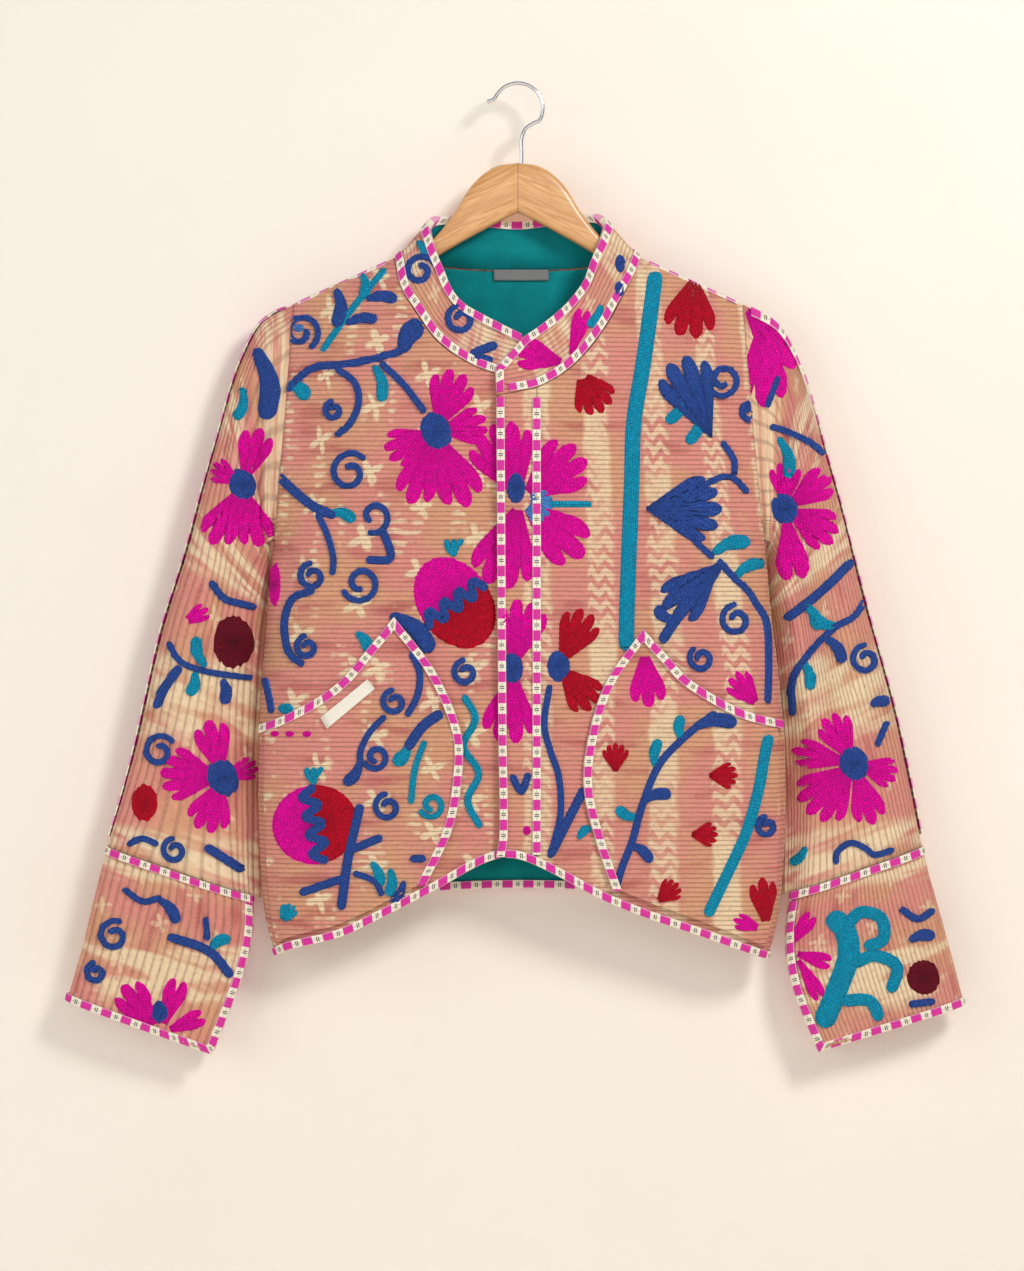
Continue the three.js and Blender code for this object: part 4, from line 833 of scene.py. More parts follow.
def cloth_material(name, style, pitch=ROW_PITCH):
    made, shader = new_material(name, 0.9, 0.04)
    shader.inputs["Specular IOR Level"].default_value = 0.2
    shader.inputs["Sheen Roughness"].default_value = 0.5
    x, y = flat_uv()
    drift = (cloud(vector_of(x, y), 30.0) - 0.5) * 0.0011
    across = (y + drift) / pitch
    row = across.floor()
    in_row = across.fract()
    along = x / STEP_LENGTH + chance(row, 0.5) * 3.0
    stitch = along.fract()
    on = stitch.between(0.06, 0.14) * stitch.between(0.64, 0.56)
    valley = (in_row - 0.5).abs().between(0.30, 0.49)
    thread = (in_row - 0.5).abs().between(0.445, 0.465) * on
    tint = chance(row, along.floor())
    colour = ground_colour(style, x, y)
    # Painted shade: the colour is darkened along the hollow of each row of stitches, where the bump also
    # sinks.
    colour = shaded(colour, 1.06 - valley * 0.30)
    colour = blend_colour(thread * (tint * 0.5 + 0.35), colour, THREAD)
    weave = cloud(vector_of(x, y), 1900.0, 1.0)
    pucker = cloud(vector_of(x * 1.0, y * 2.2), 210.0, 2.0)
    height = pucker * 0.9 - valley * 0.55 - valley * on * 0.45 + thread * 0.5 + weave * 0.22
    finish_material(shader, colour, height, 0.0009, 0.85)
    return made


def tape_material():
    made, shader = new_material("woven_tape", 0.8, 0.02)
    shader.inputs["Specular IOR Level"].default_value = 0.2
    x, y = flat_uv()
    block = (x / TAPE_REPEAT).fract()
    cream_block = block.between(0.495, 0.505)
    weave = woven(x, y, 0.0007, 0.0008)
    middle = (block - 0.75).abs()
    dash = ((middle - 0.045).abs().between(0.028, 0.020)) * (y.abs() - 0.0011).abs().between(0.0011, 0.0007)
    line = y.abs().between(0.00030, 0.00016) * cream_block
    specks = cloud(vector_of(x, y), 900.0).between(0.35, 0.65)
    pink = blend_colour(specks * 0.55, rgb("CF2393"), rgb("E055AE"))
    edge = y.abs().between(0.0029, 0.0033)
    pink = blend_colour(edge * 0.6, pink, rgb("EBC4D6"))
    colour = blend_colour(cream_block, pink, rgb("EEE6D3"))
    colour = blend_colour(Value.math("MAXIMUM", dash, line * 0.55) * cream_block, colour, rgb("1E1B22"))
    colour = shaded(colour, weave * 0.25 + 0.84)
    finish_material(shader, colour, weave, 0.00025, 0.6)
    return made


def lining_material():
    made, shader = new_material("teal_lining", 0.78, 0.02)
    shader.inputs["Specular IOR Level"].default_value = 0.12
    x, y = flat_uv()
    place = vector_of(x, y)
    weave = woven(x, y, WEAVE, WEAVE)
    colour = blend_colour(cloud(place, 40.0, 3.0), rgb("02686C"), rgb("069296"))
    colour = shaded(colour, weave * 0.22 + 0.86)
    finish_material(shader, colour, cloud(place, 90.0, 2.0) + weave * 0.12, 0.0011, 0.6)
    return made


def thread_material():
    """Chain stitch in the colour that each point carries, with painted shade between the loops. The uv runs
    along and across the rows.
    """
    made, shader = new_material("chain_stitch", 0.66, 0.03)
    shader.inputs["Specular IOR Level"].default_value = 0.12
    shader.inputs["Sheen Roughness"].default_value = 0.35
    x, y = flat_uv()
    row = (y / CHAIN_ROW).floor()
    across = ((y / CHAIN_ROW).fract() - 0.5).abs()
    along = x / CHAIN_LENGTH + chance(row, 2.5)
    loop = (along.fract() - 0.5).abs()
    bead = (across * across * 3.2 + loop * loop * 2.4).between(0.85, 0.12)
    node = made.node_tree.nodes.new("ShaderNodeAttribute")
    node.attribute_name = "thread"
    tint = chance(row, along.floor())
    # Painted shade: each loop is lighter on its crown and darker where loops and rows meet; tint is a random
    # tone for each loop.
    colour = shaded(node.outputs["Color"], (tint * 0.28 + 0.80) * (bead * 0.42 + 0.62))
    finish_material(shader, colour, bead + cloud(vector_of(x, y), 2600.0) * 0.2, 0.0007, 0.9)
    return made


def label_material(name, ground):
    made, shader = new_material(name, 0.75, 0.1)
    x, y = flat_uv()
    weave = woven(x, y, LABEL_WEAVE, LABEL_WEAVE)
    finish_material(shader, shaded(ground, weave * 0.2 + 0.85), weave, 0.0002, 0.6)
    return made


def wood_material():
    made, shader = new_material("varnished_wood", 0.34)
    shader.inputs["Coat Weight"].default_value = 0.35
    shader.inputs["Coat Roughness"].default_value = 0.25
    x, y = flat_uv()
    grain = cloud(vector_of(x * 1.0, y * 9.0), 42.0, 4.0)
    rings = ((y * 260.0 + grain * 5.0).sin() * 0.5 + 0.5)
    colour = blend_colour(grain.between(0.3, 0.7), rgb("E2B27A"), rgb("C88F55"))
    colour = blend_colour(rings * 0.35, colour, rgb("B87B45"))
    joint = x.abs().between(0.0006, 0.0002)
    colour = blend_colour(joint * 0.6, colour, rgb("7A4A26"))
    finish_material(shader, colour, grain - joint, 0.0002, 0.35)
    return made


def steel_material():
    made, shader = new_material("bright_steel", 0.16)
    shader.inputs["Metallic"].default_value = 1.0
    x, y = flat_uv()
    drawn = cloud(vector_of(x, y * 8.0), 400.0)
    finish_material(shader, blend_colour(drawn, rgb("C4C6CA"), rgb("EDEDEE")), drawn, 0.00005, 0.3)
    return made


CLOTH = {style: cloth_material(f"kantha_{style}", style) for style in ("stars", "bands", "cross")}
RIBBED = cloth_material("kantha_ribbed", "cross", RIB_PITCH)
TAPE_LOOK = tape_material()
LINING_LOOK = lining_material()
THREAD_LOOK = thread_material()
GREY_LABEL = label_material("grey_label", rgb("77797A"))
PALE_LABEL = label_material("pale_label", rgb("EFE8DA"))
WOOD_LOOK = wood_material()
STEEL_LOOK = steel_material()


def place_piece(made, material, slot, *nodes):
    made.data.materials.clear()
    made.data.materials.append(material)
    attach(made, "root")
    if nodes:
        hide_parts(*nodes)
    return made


# Cloth

def quilting(phase, strength):
    """The hollow along each row of stitches. Rows lie where the phase is whole."""
    return -strength * (1 - np.abs(np.sin(np.pi * phase)) ** 0.7)


def puckers(u, v, seed):
    fine = noise(u, v, 0.0065, seed) * 0.00022
    middle = noise(u, v, 0.017, seed + 1) * 0.00038
    return fine + middle + noise(u, v, 0.045, seed + 2) * 0.0007


def cloth_piece(name, touch, p, q, uv, phase, seed, flat, area, lift=0.0, strength=0.0006, rough=1.0,
                material=None, slot="cloth", thick=QUILT, rests=("hanger_wood",), nodes=None):
    spot, normal, _, _ = touch(p, q)
    edge = np.ones(p.shape)
    edge[[0, -1], :] = 0
    edge[:, [0, -1]] = 0
    relief = (quilting(phase, strength) + rough * puckers(uv[..., 0], uv[..., 1], seed)) * (0.3 + 0.7 * edge)
    outer = spot + normal * (lift + thick + RIDGE / 2 + relief)[..., None]
    inner = spot + normal * lift
    made = shell(name, outer, inner, uv)
    place_piece(made, material, slot, *(nodes or [name]))
    return made


CHEST_Z = -0.45
COLUMN_STEP = 0.003
SHOULDER_DROPS = np.array([0, 0.0002, 0.0007, 0.0016, 0.0030])
SEAM_DROP = 0.000003


def hem_read(rows):
    return lambda x: read(rows, "x", "z", x)


def panel_grid(column, top, hem, level_step):
    """Rows of a body panel at level heights, each column cut off at its own top and hem."""
    z_ends = []
    for edge in (top, hem):
        z = np.full(column(np.array([[-0.5]])).shape[1], -0.5)
        for _ in range(16):
            a = column(z[None])[0]
            z = edge(body_x(a, z))
        z_ends.append(z)
    high, low = z_ends
    slope = np.gradient(low, body_x(column(low[None])[0], low))
    low = low + EDGE_INSET * np.hypot(1, np.clip(slope, -1.5, 1.5))
    first, last = math.floor(high.max() / level_step), math.ceil(low.min() / level_step)
    levels = np.arange(first, last - 1, -1) * level_step
    below = np.clip(levels[:, None], low, high - SHOULDER_DROPS[-1] - 0.0002)
    z = np.concatenate([high - SHOULDER_DROPS[:, None], below])
    return column(z), z


def panel_columns(start, end, step):
    """Columns between two lines of the panel, evenly spaced at the chest. start and end give a at heights."""
    chest = np.array([CHEST_Z])
    low, high = float(start(chest)[0]), float(end(chest)[0])
    count = 400
    fine = np.linspace(low, high, count)
    length = arc_lengths(body_skin("front", fine, np.full(count, chest[0])))
    shares = np.interp(np.linspace(0, length[-1], int(length[-1] / step) + 1), length,
                       np.linspace(0, 1, count))
    along = np.linspace(0, length[-1], len(shares))

    def column(z):
        z = np.asarray(z, float) + np.zeros(len(shares))
        return lerp(start(z), end(z), shares)
    return column, along


def fixed(a):
    return lambda z: np.full(np.shape(z), a)


def at_line(rows, off=0.0):
    return lambda z: body_a(read(rows, "z", "x", np.clip(z, -0.712, -0.28)) + off, z)


def neck_or_ridge(rows):
    return lambda x: neck_z(rows, x) - SEAM_DROP


def body_panel(name, touch, start, end, top, hem, step, level_step, seed, look, flat, area, **options):
    column, along = panel_columns(start, end, step)
    a, z = panel_grid(column, top, hem, level_step)
    chest = np.array([CHEST_Z])
    first_x = float(body_x(start(chest), chest)[0])
    uv = np.stack([np.broadcast_to(first_x + along, z.shape), z], axis=-1)
    return cloth_piece(name, touch, a, z, uv, z / ROW_PITCH, seed, flat, area, material=look, **options)


LINING_CLOTH = {"lift": -GAP - LINING, "thick": LINING - RIDGE / 2, "strength": 0.0, "rough": 0.3,
                "slot": "lining"}
LEVEL = ROW_PITCH / ROW_SAMPLES
HALF_GAP = GAP / 2
right_front = body_panel(
    "front_right", on_front["right"], fixed(-SEAM_A), lambda z: body_a(np.full(np.shape(z), UNDERLAP_X), z),
    neck_or_ridge(NECK_RIGHT), hem_read(HEM_RIGHT), COLUMN_STEP, LEVEL, 1, CLOTH["stars"],
    (0.28, 0.62), 0.150)
left_front = body_panel(
    "front_left", on_front["left"], at_line(PLACKET_INNER, HALF_GAP), fixed(SEAM_A),
    neck_or_ridge(NECK_LEFT), hem_read(HEM_LEFT), COLUMN_STEP, LEVEL, 5, CLOTH["bands"], (0.26, 0.62), 0.138)
placket = body_panel(
    "placket", on_front["left"], at_line(PLACKET_EDGE, EDGE_INSET), at_line(PLACKET_INNER, -HALF_GAP),
    neck_or_ridge(NECK_LEFT), hem_read(HEM_LEFT), COLUMN_STEP, LEVEL, 9, CLOTH["bands"],
    (0.037, 0.43), 0.0155, rests=("front_right",))
back = body_panel(
    "back", on_back, fixed(SEAM_A), fixed(-SEAM_A), neck_or_ridge(None), hem_read(HEM_BACK),
    COLUMN_STEP * 1.5, ROW_PITCH / 2, 13, CLOTH["stars"], (0.52, 0.62), 0.300)
body_panel(
    "back_lining", on_back, fixed(0.378), fixed(-0.378), neck_or_ridge(None), hem_read(HEM_BACK),
    COLUMN_STEP * 2, ROW_PITCH, 17, LINING_LOOK, (0.2, 0.58), 0.115, **LINING_CLOTH)


SLEEVE_LENGTH = 0.50
CUFF_LENGTH = 0.15
CUFF_GIRTH = 0.235
CUFF_END_A = 0.45
SLEEVE_PITCH = {"right": RIB_PITCH, "left": 0.0045}
SLEEVE_STRENGTH = {"right": 0.0013, "left": 0.0006}


def tube_piece(name, touch, low, high, top, bottom, pitch, strength, samples, seed, length, **options):
    """Cloth round a sleeve between two places of its parameter, its rows running down the sleeve."""
    section = lambda a: touch(a, np.full(a.shape, 0.5))[0]
    girth = arc_lengths(section(np.linspace(low, high, 300)))[-1]
    rows_round = int(girth / pitch)
    columns, _ = even(low, high, rows_round * samples + 1, section)
    down = np.linspace(top, bottom, int(length / 0.0045) + 1)
    a, v = np.broadcast_arrays(columns[None], down[:, None])
    around = np.broadcast_to(np.linspace(0, rows_round * pitch, len(columns)), a.shape)
    uv = np.stack([v * length, around], axis=-1)
    return cloth_piece(name, touch, a, v, uv, around / pitch, seed, strength=strength, **options)


SLEEVE_SEAM = 0.0008
sleeves, cuffs = {}, {}
for side, start in (("right", 21), ("left", 31)):
    look = RIBBED if side == "right" else CLOTH["cross"]
    pitch, strength = SLEEVE_PITCH[side], SLEEVE_STRENGTH[side]
    samples = 4 if side == "right" else 3
    for part, low, high in (("front", SLEEVE_SEAM, 0.494), ("back", 1 - SLEEVE_SEAM, 0.506)):
        sleeves[side, part] = tube_piece(
            f"sleeve_{side}_{part}", on_sleeve[side], low, high, 0.0, 0.9995, pitch, strength, samples,
            start + (part == "back"), SLEEVE_LENGTH, material=look, flat=(0.20, 0.50), area=0.070,
            rests=(f"front_{side}",))
    end_a = CUFF_END_A - EDGE_INSET / CUFF_GIRTH
    cuffs[side] = tube_piece(
        f"cuff_{side}", on_cuff[side], -end_a, end_a, HALF_GAP / CUFF_LENGTH, 1 - EDGE_INSET / CUFF_LENGTH,
        pitch, strength, samples, start + 4, CUFF_LENGTH, material=look, flat=(0.30, 0.15), area=0.041,
        rests=(f"sleeve_{side}_front",))


def collar_height(s):
    return np.linalg.norm(collar_skin(s, np.zeros_like(s)) - collar_skin(s, np.ones_like(s)), axis=-1)


def collar_lean(s):
    _, _, along_s, along_v = on_collar(s, np.ones_like(s))
    return np.maximum(np.linalg.norm(np.cross(unit(along_s), unit(along_v)), axis=-1), 0.5)


def collar_piece(name, low, high, clear, rows, step, **options):
    middle = lambda s: collar_skin(s, np.full(s.shape, 0.5))
    count = int(arc_lengths(middle(np.linspace(low, high, 300)))[-1] / step)
    s, length = even(low, high, count, middle)
    height = collar_height(s)
    foot, top = (GAP + clear) / height, 1 - EDGE_INSET / collar_lean(s) / height
    v = lerp(foot, top, np.linspace(0, 1, rows)[:, None])
    s = np.broadcast_to(s, v.shape)
    uv = np.stack([np.broadcast_to(np.linspace(0, length, count), v.shape), v * height], axis=-1)
    return cloth_piece(name, on_collar, s, v, uv, v * height / ROW_PITCH, **options)


COLLAR_ROWS = 34
collar = collar_piece("collar", 0.0, 0.9995, 0.0, COLLAR_ROWS, 0.003, seed=41, flat=(0.52, 0.048),
                      area=0.0235, material=CLOTH["cross"], rests=("back", "front_right", "front_left"))
collar_piece("collar_lining", 4.6 / COLLAR_LAST, 17.4 / COLLAR_LAST, 0.0012, 12, 0.004, seed=43,
             flat=(0.33, 0.046), area=0.0145, material=LINING_LOOK, rests=("collar",), **LINING_CLOTH)


def corner_patch(top, inner, side_a, foot_of, rows, columns):
    """Parameter pairs filling the space between a side, a top line, an inner line and a hem."""
    u, up = np.linspace(0, 1, columns)[None] ** 1.15, 1 - np.linspace(0, 1, rows)[:, None]
    pick = lambda line, share: np.stack([read_along({"v": line[:, k]}, "v", share) for k in (0, 1)], axis=-1)
    above, right = pick(top, u), pick(inner, 1 - up)
    corner_foot = np.array([side_a, foot_of(side_a)])
    below_a = lerp(side_a, inner[-1, 0], u)
    below = np.stack([below_a, foot_of(below_a) + u * (inner[-1, 1] - foot_of(inner[-1, 0]))], axis=-1)
    left = np.stack([np.full(up.shape, side_a), lerp(corner_foot[1], top[0, 1], up)], axis=-1)
    u, up = u[..., None], up[..., None]
    corners = lerp(lerp(corner_foot, inner[-1], u), lerp(top[0], top[-1], u), up)
    return lerp(below, above, up) + lerp(left, right, u) - corners


def pocket_lines(shape):
    """The tape's middle line, and the cloth's top and inner edges inside it."""
    top = points(shape["top"]["x"], shape["top"]["z"], 0)[:, :2]
    inner = points(shape["inner"]["x"], shape["inner"]["z"], 0)[:, :2]
    lines = [np.stack([read_along({"v": line[:, k]}, "v", np.linspace(0, 1, 24)) for k in (0, 1)], axis=-1)
             for line in (top, inner)]
    out = TAPE_WIDTH / 2 - EDGE_INSET
    edges = []
    for line in lines:
        way = unit(np.gradient(line, axis=0))
        normal = np.stack([way[:, 1], -way[:, 0]], axis=-1) * -shape["side"]
        edges.append(line + normal * out)
    corner = (edges[0][-1] + edges[1][0]) / 2
    edges[0][-1] = corner
    edges[1][0] = corner
    return lines, edges


def on_body(line):
    return np.stack([body_a(line[:, 0], line[:, 1]), line[:, 1]], axis=-1)


pockets, pocket_paths = {}, {}
for name, hem_rows, seed in (("right", HEM_RIGHT, 51), ("left", HEM_LEFT, 55)):
    shape = POCKETS[name]
    lines, edges = pocket_lines(shape)
    side_a = shape["side"] * POCKET_SIDE_A

    def foot_of(a):
        z = np.full(np.shape(a), -0.77)
        for _ in range(8):
            z = read(hem_rows, "x", "z", body_x(a, z)) + POCKET_HEM_CLEAR
        return z

    top_edge, inner_edge = on_body(edges[0]), on_body(edges[1])
    top_edge[0, 0] = side_a
    grid = corner_patch(top_edge, inner_edge, side_a, foot_of, 200, 60)
    a, z = grid[..., 0], grid[..., 1]
    uv = np.stack([body_x(a, z), z], axis=-1)
    pockets[name] = cloth_piece(
        f"pocket_{name}", on_front[name], a, z, uv, z / ROW_PITCH, seed, (0.17, 0.24), 0.031,
        lift=POCKET_LOW, material=CLOTH["stars" if name == "right" else "bands"], rests=(f"front_{name}",))
    pocket_paths[name] = [on_body(line) for line in lines]


# Tapes

WALK_STEPS = 5


def walk(touch, p, q, way, distance):
    """Moves over a surface by distances along directions in space."""
    for _ in range(WALK_STEPS):
        _, _, u, w = touch(p, q)
        uu, uw, ww = (u * u).sum(-1), (u * w).sum(-1), (w * w).sum(-1)
        du, dw = (way * u).sum(-1), (way * w).sum(-1)
        det = uu * ww - uw * uw
        a, b = (du * ww - dw * uw) / det, (dw * uu - du * uw) / det
        length = np.linalg.norm(u * a[..., None] + w * b[..., None], axis=-1)
        p = p + a / length * distance / WALK_STEPS
        q = q + b / length * distance / WALK_STEPS
    return p, q


def flat_section(foot, count):
    side, top = TAPE_WIDTH / 2, foot + TAPE
    across = np.linspace(-side, side, 5)
    over = np.linspace(side - 0.0004, 0.0004 - side, 5)
    return np.repeat(np.concatenate([
        np.stack([across, np.full(5, foot)], axis=-1), [[side, top - 0.0003]],
        np.stack([over, np.full(5, top)], axis=-1), [[-side, top - 0.0003]]])[None], count, axis=0)


def fold_section(below, count):
    """Wraps a free edge. below is how much cloth lies under the skin at each ring."""
    foot = QUILT_TOP + GAP
    top, slot = foot + TAPE, -TAPE - GAP
    under = -np.broadcast_to(below, count) - UNDER_ROOM
    fixed_row = lambda x, y: np.stack([np.full(count, x), np.broadcast_to(y, count)], axis=-1)
    return np.stack([
        fixed_row(-TAPE_WIDTH, foot), fixed_row(slot, foot), fixed_row(slot, under),
        fixed_row(-TAPE_WIDTH, under), fixed_row(-TAPE_WIDTH, under - TAPE), fixed_row(-TAPE, under - TAPE),
        fixed_row(-0.0002, under - 0.0004), fixed_row(0, lerp(under, foot, 0.5)),
        fixed_row(-0.0002, foot + 0.0004), fixed_row(-TAPE, top), fixed_row(-TAPE_WIDTH / 2, top + 0.0001),
        fixed_row(-TAPE_WIDTH, top)], axis=1)


def pocket_section(count):
    side, foot = TAPE_WIDTH / 2, POCKET_TOP + 2 * GAP
    return np.repeat(np.array([
        [-side, foot], [side - TAPE - GAP, foot], [side - TAPE - GAP, POCKET_LOW], [side, POCKET_LOW],
        [side, foot], [side - TAPE / 2, foot + TAPE * 0.8], [side - TAPE, foot + TAPE], [0, foot + TAPE],
        [-side, foot + TAPE]])[None], count, axis=0)


def tape(name, touch, path, make_section, least=0.8):
    """A tape along a path of parameter pairs. The section's x runs to the right of the way it goes."""
    path = np.asarray(path, float)
    p, q = path[:, 0], path[:, 1]
    spot, normal, along_p, along_q = touch(p, q)
    step = np.diff(spot, axis=0)
    into, onward = np.vstack([step[:1], step]), np.vstack([step, step[-1:]])
    side_in, side_out = unit(np.cross(into, normal)), unit(np.cross(onward, normal))
    square = unit(side_in + side_out)
    corner = (square * side_in).sum(-1)
    across = square.copy()
    for way in (unit(along_q), unit(along_p)):
        lean = (way * square).sum(-1)
        chosen = (np.abs(lean) > least) & (corner > 0.93)
        across[chosen] = (way * np.sign(lean)[:, None])[chosen]
    mitre = 1 / np.maximum(np.where(corner > 0.93, (across * square).sum(-1), corner), 0.5)
    section, middle, cut_width = make_section(len(path))
    x, y = section[..., 0], section[..., 1]
    way = across[:, None] * np.sign(x)[..., None]
    there = walk(touch, p[:, None] + 0 * x, q[:, None] + 0 * x, way, np.abs(x) * mitre[:, None])
    still = np.abs(x) < 1e-9
    there = [np.where(still, own[:, None], moved) for own, moved in zip((p, q), there)]
    ring_spot, ring_normal, _, _ = touch(*there)
    rings = ring_spot + ring_normal * y[..., None]
    run = arc_lengths(spot)
    uv = np.stack(np.broadcast_arrays(run[:, None], x - middle), axis=-1)
    made = rod(name, rings, uv, 50)
    place_piece(made, TAPE_LOOK, "tape", name)
    cut = (run[-1], max(cut_width, LEAST_FLAT))
    run[-1] * cut_width


LEAST_FLAT = 0.01
FLAT_CUT = 0.0086
SLEEVE_CUT = 0.0130
FOLD_CUT = 0.0190
POCKET_CUT = 0.0130


def flat(foot=QUILT_TOP + GAP, cut=FLAT_CUT):
    return lambda count: (flat_section(foot, count), 0.0, cut)


def fold(below=0.0):
    return lambda count: (fold_section(below, count), -TAPE_WIDTH / 2, FOLD_CUT)


def on_pocket(count):
    return pocket_section(count), 0.0, POCKET_CUT


BINDING_A = 0.992


def steps(low, high, spacing=0.003, scale=1.0):
    return np.linspace(low, high, max(int(abs(high - low) * scale / spacing), 3))


def hem_path(rows, low, high):
    a = steps(low, high, scale=0.27)
    z = np.full(a.shape, -0.75)
    for _ in range(16):
        z = read(rows, "x", "z", body_x(a, z))
    return np.stack([a, z], axis=-1)


def cornered(*legs, clear=0.010):
    """Joins legs at their shared corners, with no ring closer to a corner than a tape needs."""
    path = list(legs[0])
    for leg in legs[1:]:
        at = np.asarray(leg[0])
        scale = np.array([0.24, 1.0])
        far = lambda spot: np.linalg.norm((np.asarray(spot) - at) * scale) > clear
        path = [spot for spot in path if far(spot)] + [at] + [spot for spot in leg if far(spot)]
    return np.array(path)


tape("hem_front_right", on_front["right"], hem_path(HEM_RIGHT, -BINDING_A, float(body_a(UNDERLAP_X, -0.71))),
     fold())
left_start = float(body_a(-0.020 + TAPE_WIDTH + 4 * GAP, -0.713))
tape("hem_front_left", on_front["left"], hem_path(HEM_LEFT, left_start, BINDING_A), fold())
back_path = hem_path(HEM_BACK, BINDING_A, -BINDING_A)
back_x = np.abs(body_x(back_path[:, 0], back_path[:, 1]))
tape("hem_back", on_back, back_path, fold((LINING + GAP) * (1 - smooth(back_x, 0.125, 0.130))))


def down_front(rows, top, bottom):
    z = steps(top, bottom)
    return np.stack([body_a(read(rows, "z", "x", z), z), z], axis=-1)


tape("placket_edge", on_front["left"], down_front(PLACKET_EDGE, -0.291, -0.711), fold())
tape("placket_inner", on_front["left"], down_front(PLACKET_INNER, -0.292, -0.709), flat())

COLLAR_LEAST = 0.45
collar_s, _ = even(0.002, 0.98, 170, lambda s: collar_skin(s, np.full(s.shape, 0.5)))
collar_end = np.stack([np.ones(12), np.linspace(1, 0.1, 12)], axis=-1)
collar_round = np.stack([np.r_[collar_s, 1], np.ones(len(collar_s) + 1)], axis=-1)
collar_path = cornered(collar_round, collar_end, clear=0.02)
lined = (collar_path[:, 0] > 4.5 / COLLAR_LAST) & (collar_path[:, 0] < 17.5 / COLLAR_LAST)
tape("collar_top", on_collar, collar_path, fold(np.where(lined, LINING + 2 * GAP, 0.0)), COLLAR_LEAST)
foot_s = collar_s[collar_s < 0.984]
foot_v = (TAPE_WIDTH / 2 / collar_lean(foot_s) + 2 * GAP) / collar_height(foot_s)
tape("collar_seam", on_collar, np.stack([foot_s, foot_v], axis=-1), flat(QUILT_TOP + 2 * GAP), COLLAR_LEAST)

for side, way in (("right", -1), ("left", 1)):
    lines = pocket_paths[side] if way > 0 else [line[::-1] for line in reversed(pocket_paths[side])]
    tape(f"pocket_tape_{side}", on_front[side], cornered(*lines), on_pocket)

    rows = np.linspace(0.02, 0.985, 150)
    start = -0.012 if side == "right" else 0.04
    lead = lerp(-0.008, start, (1 - rows) ** 4)
    tape(f"sleeve_tape_{side}", on_sleeve[side], np.stack([lead, rows], axis=-1),
         flat(QUILT_TOP + 5 * GAP, SLEEVE_CUT))

    round_a = np.linspace(-CUFF_END_A, CUFF_END_A, 120) * -way
    level = np.stack([round_a, np.full(120, (TAPE_WIDTH / 2 + GAP) / CUFF_LENGTH)], axis=-1)
    tape(f"cuff_top_{side}", on_cuff[side], level, flat(QUILT_TOP + 2 * GAP))
    down = np.linspace((TAPE_WIDTH + 11 * GAP) / CUFF_LENGTH, 1, 34)
    vent = [np.stack([np.full(34, round_a[k]), heights], axis=-1)
            for k, heights in ((0, down), (-1, down[::-1]))]
    hem = np.stack([round_a, np.ones(120)], axis=-1)
    edge = cornered(vent[0], hem, vent[1], clear=0.05)
    tape(f"cuff_hem_{side}", on_cuff[side], edge, fold())


# Shoulder tapes, each a strip over the ridge between the neck and the armhole
SHOULDER_START_X = NECK_HALF + 0.010
SHOULDER_END_X = 0.203


def shoulder_tape(side, way):
    x = np.linspace(SHOULDER_START_X, SHOULDER_END_X, 32) * way
    along = np.stack([x, x * 0, ridge_z(x)], axis=-1)
    rings = []
    outline = [(-0.0050, 0.0), (-0.0048, 0.0014), (-0.0024, 0.0030), (0, 0.0035), (0.0024, 0.0030),
               (0.0048, 0.0014), (0.0050, 0.0)]
    section = outline + [(0.0030, 0.0018), (0, 0.0024), (-0.0030, 0.0018)]
    for y, up in section:
        rings.append(along + np.array([0, y - 0.001, up - 0.0001]))
    rings = np.stack(rings, axis=1)
    across = np.array([y for y, up in section])
    run = arc_lengths(along)
    uv = np.stack(np.broadcast_arrays(run[:, None], across[None] * 0.76), axis=-1)
    made = rod(f"shoulder_{side}", rings, uv, 60)
    place_piece(made, TAPE_LOOK, "tape", f"shoulder_{side}")


for side, way in (("right", -1), ("left", 1)):
    shoulder_tape(side, way)


# Hanger

def wood_hanger():
    x = np.concatenate([np.linspace(0, 0.186, 90), np.linspace(0.1875, 0.199, 12)])
    top, bottom, half = (hermite(WOOD["x"], WOOD[name], x) for name in ("top", "bottom", "half"))
    angle = np.linspace(0, 2 * math.pi, 28, endpoint=False)
    squared = lambda value: np.sign(value) * np.abs(value) ** 0.55
    rings = []
    for k in range(len(x)):
        middle, tall = (top[k] + bottom[k]) / 2, (top[k] - bottom[k]) / 2
        corner = np.maximum(0.35, np.minimum(1, half[k] / tall))
        z = middle + tall * np.sign(np.sin(angle)) * np.abs(np.sin(angle)) ** (0.5 + 0.3 * corner)
        rings.append(points(x[k], half[k] * squared(np.cos(angle)), z))
    right = np.array(rings)
    both = np.concatenate([(right * [-1, 1, 1])[:0:-1], right])
    uv = np.stack([both[..., 0], both[..., 2] + RIDGE_SLOPE * np.abs(both[..., 0])], axis=-1)
    made = rod("hanger_wood", both, uv, 60)
    place_piece(made, WOOD_LOOK, "wood", "hanger_wood")


def steel_hook():
    knots = np.array(HOOK_LINE)
    share = arc_lengths(knots)
    run = np.linspace(0, share[-1], 150)
    line = points(hermite(share, knots[:, 0], run), 0, hermite(share, knots[:, 1], run))
    way = unit(np.gradient(line, axis=0))
    side = np.cross(way, [0, 1, 0])
    angle = np.linspace(0, 2 * math.pi, 16, endpoint=False)[None, :, None]
    ring = side[:, None] * np.cos(angle) * WIRE_R + np.array([0, WIRE_R, 0]) * np.sin(angle)
    rings = line[:, None] + ring
    around = np.linspace(0, WIRE_ROUND, rings.shape[1])
    uv = np.stack(np.broadcast_arrays(run[:, None], around[None]), axis=-1)
    made = rod("hanger_hook", rings, uv, 50)
    place_piece(made, STEEL_LOOK, "steel", "hanger_hook")


wood_hanger()
steel_hook()


# Labels, both bare

LABEL_THICK = 0.0006
LABEL_SWELL = 0.0004


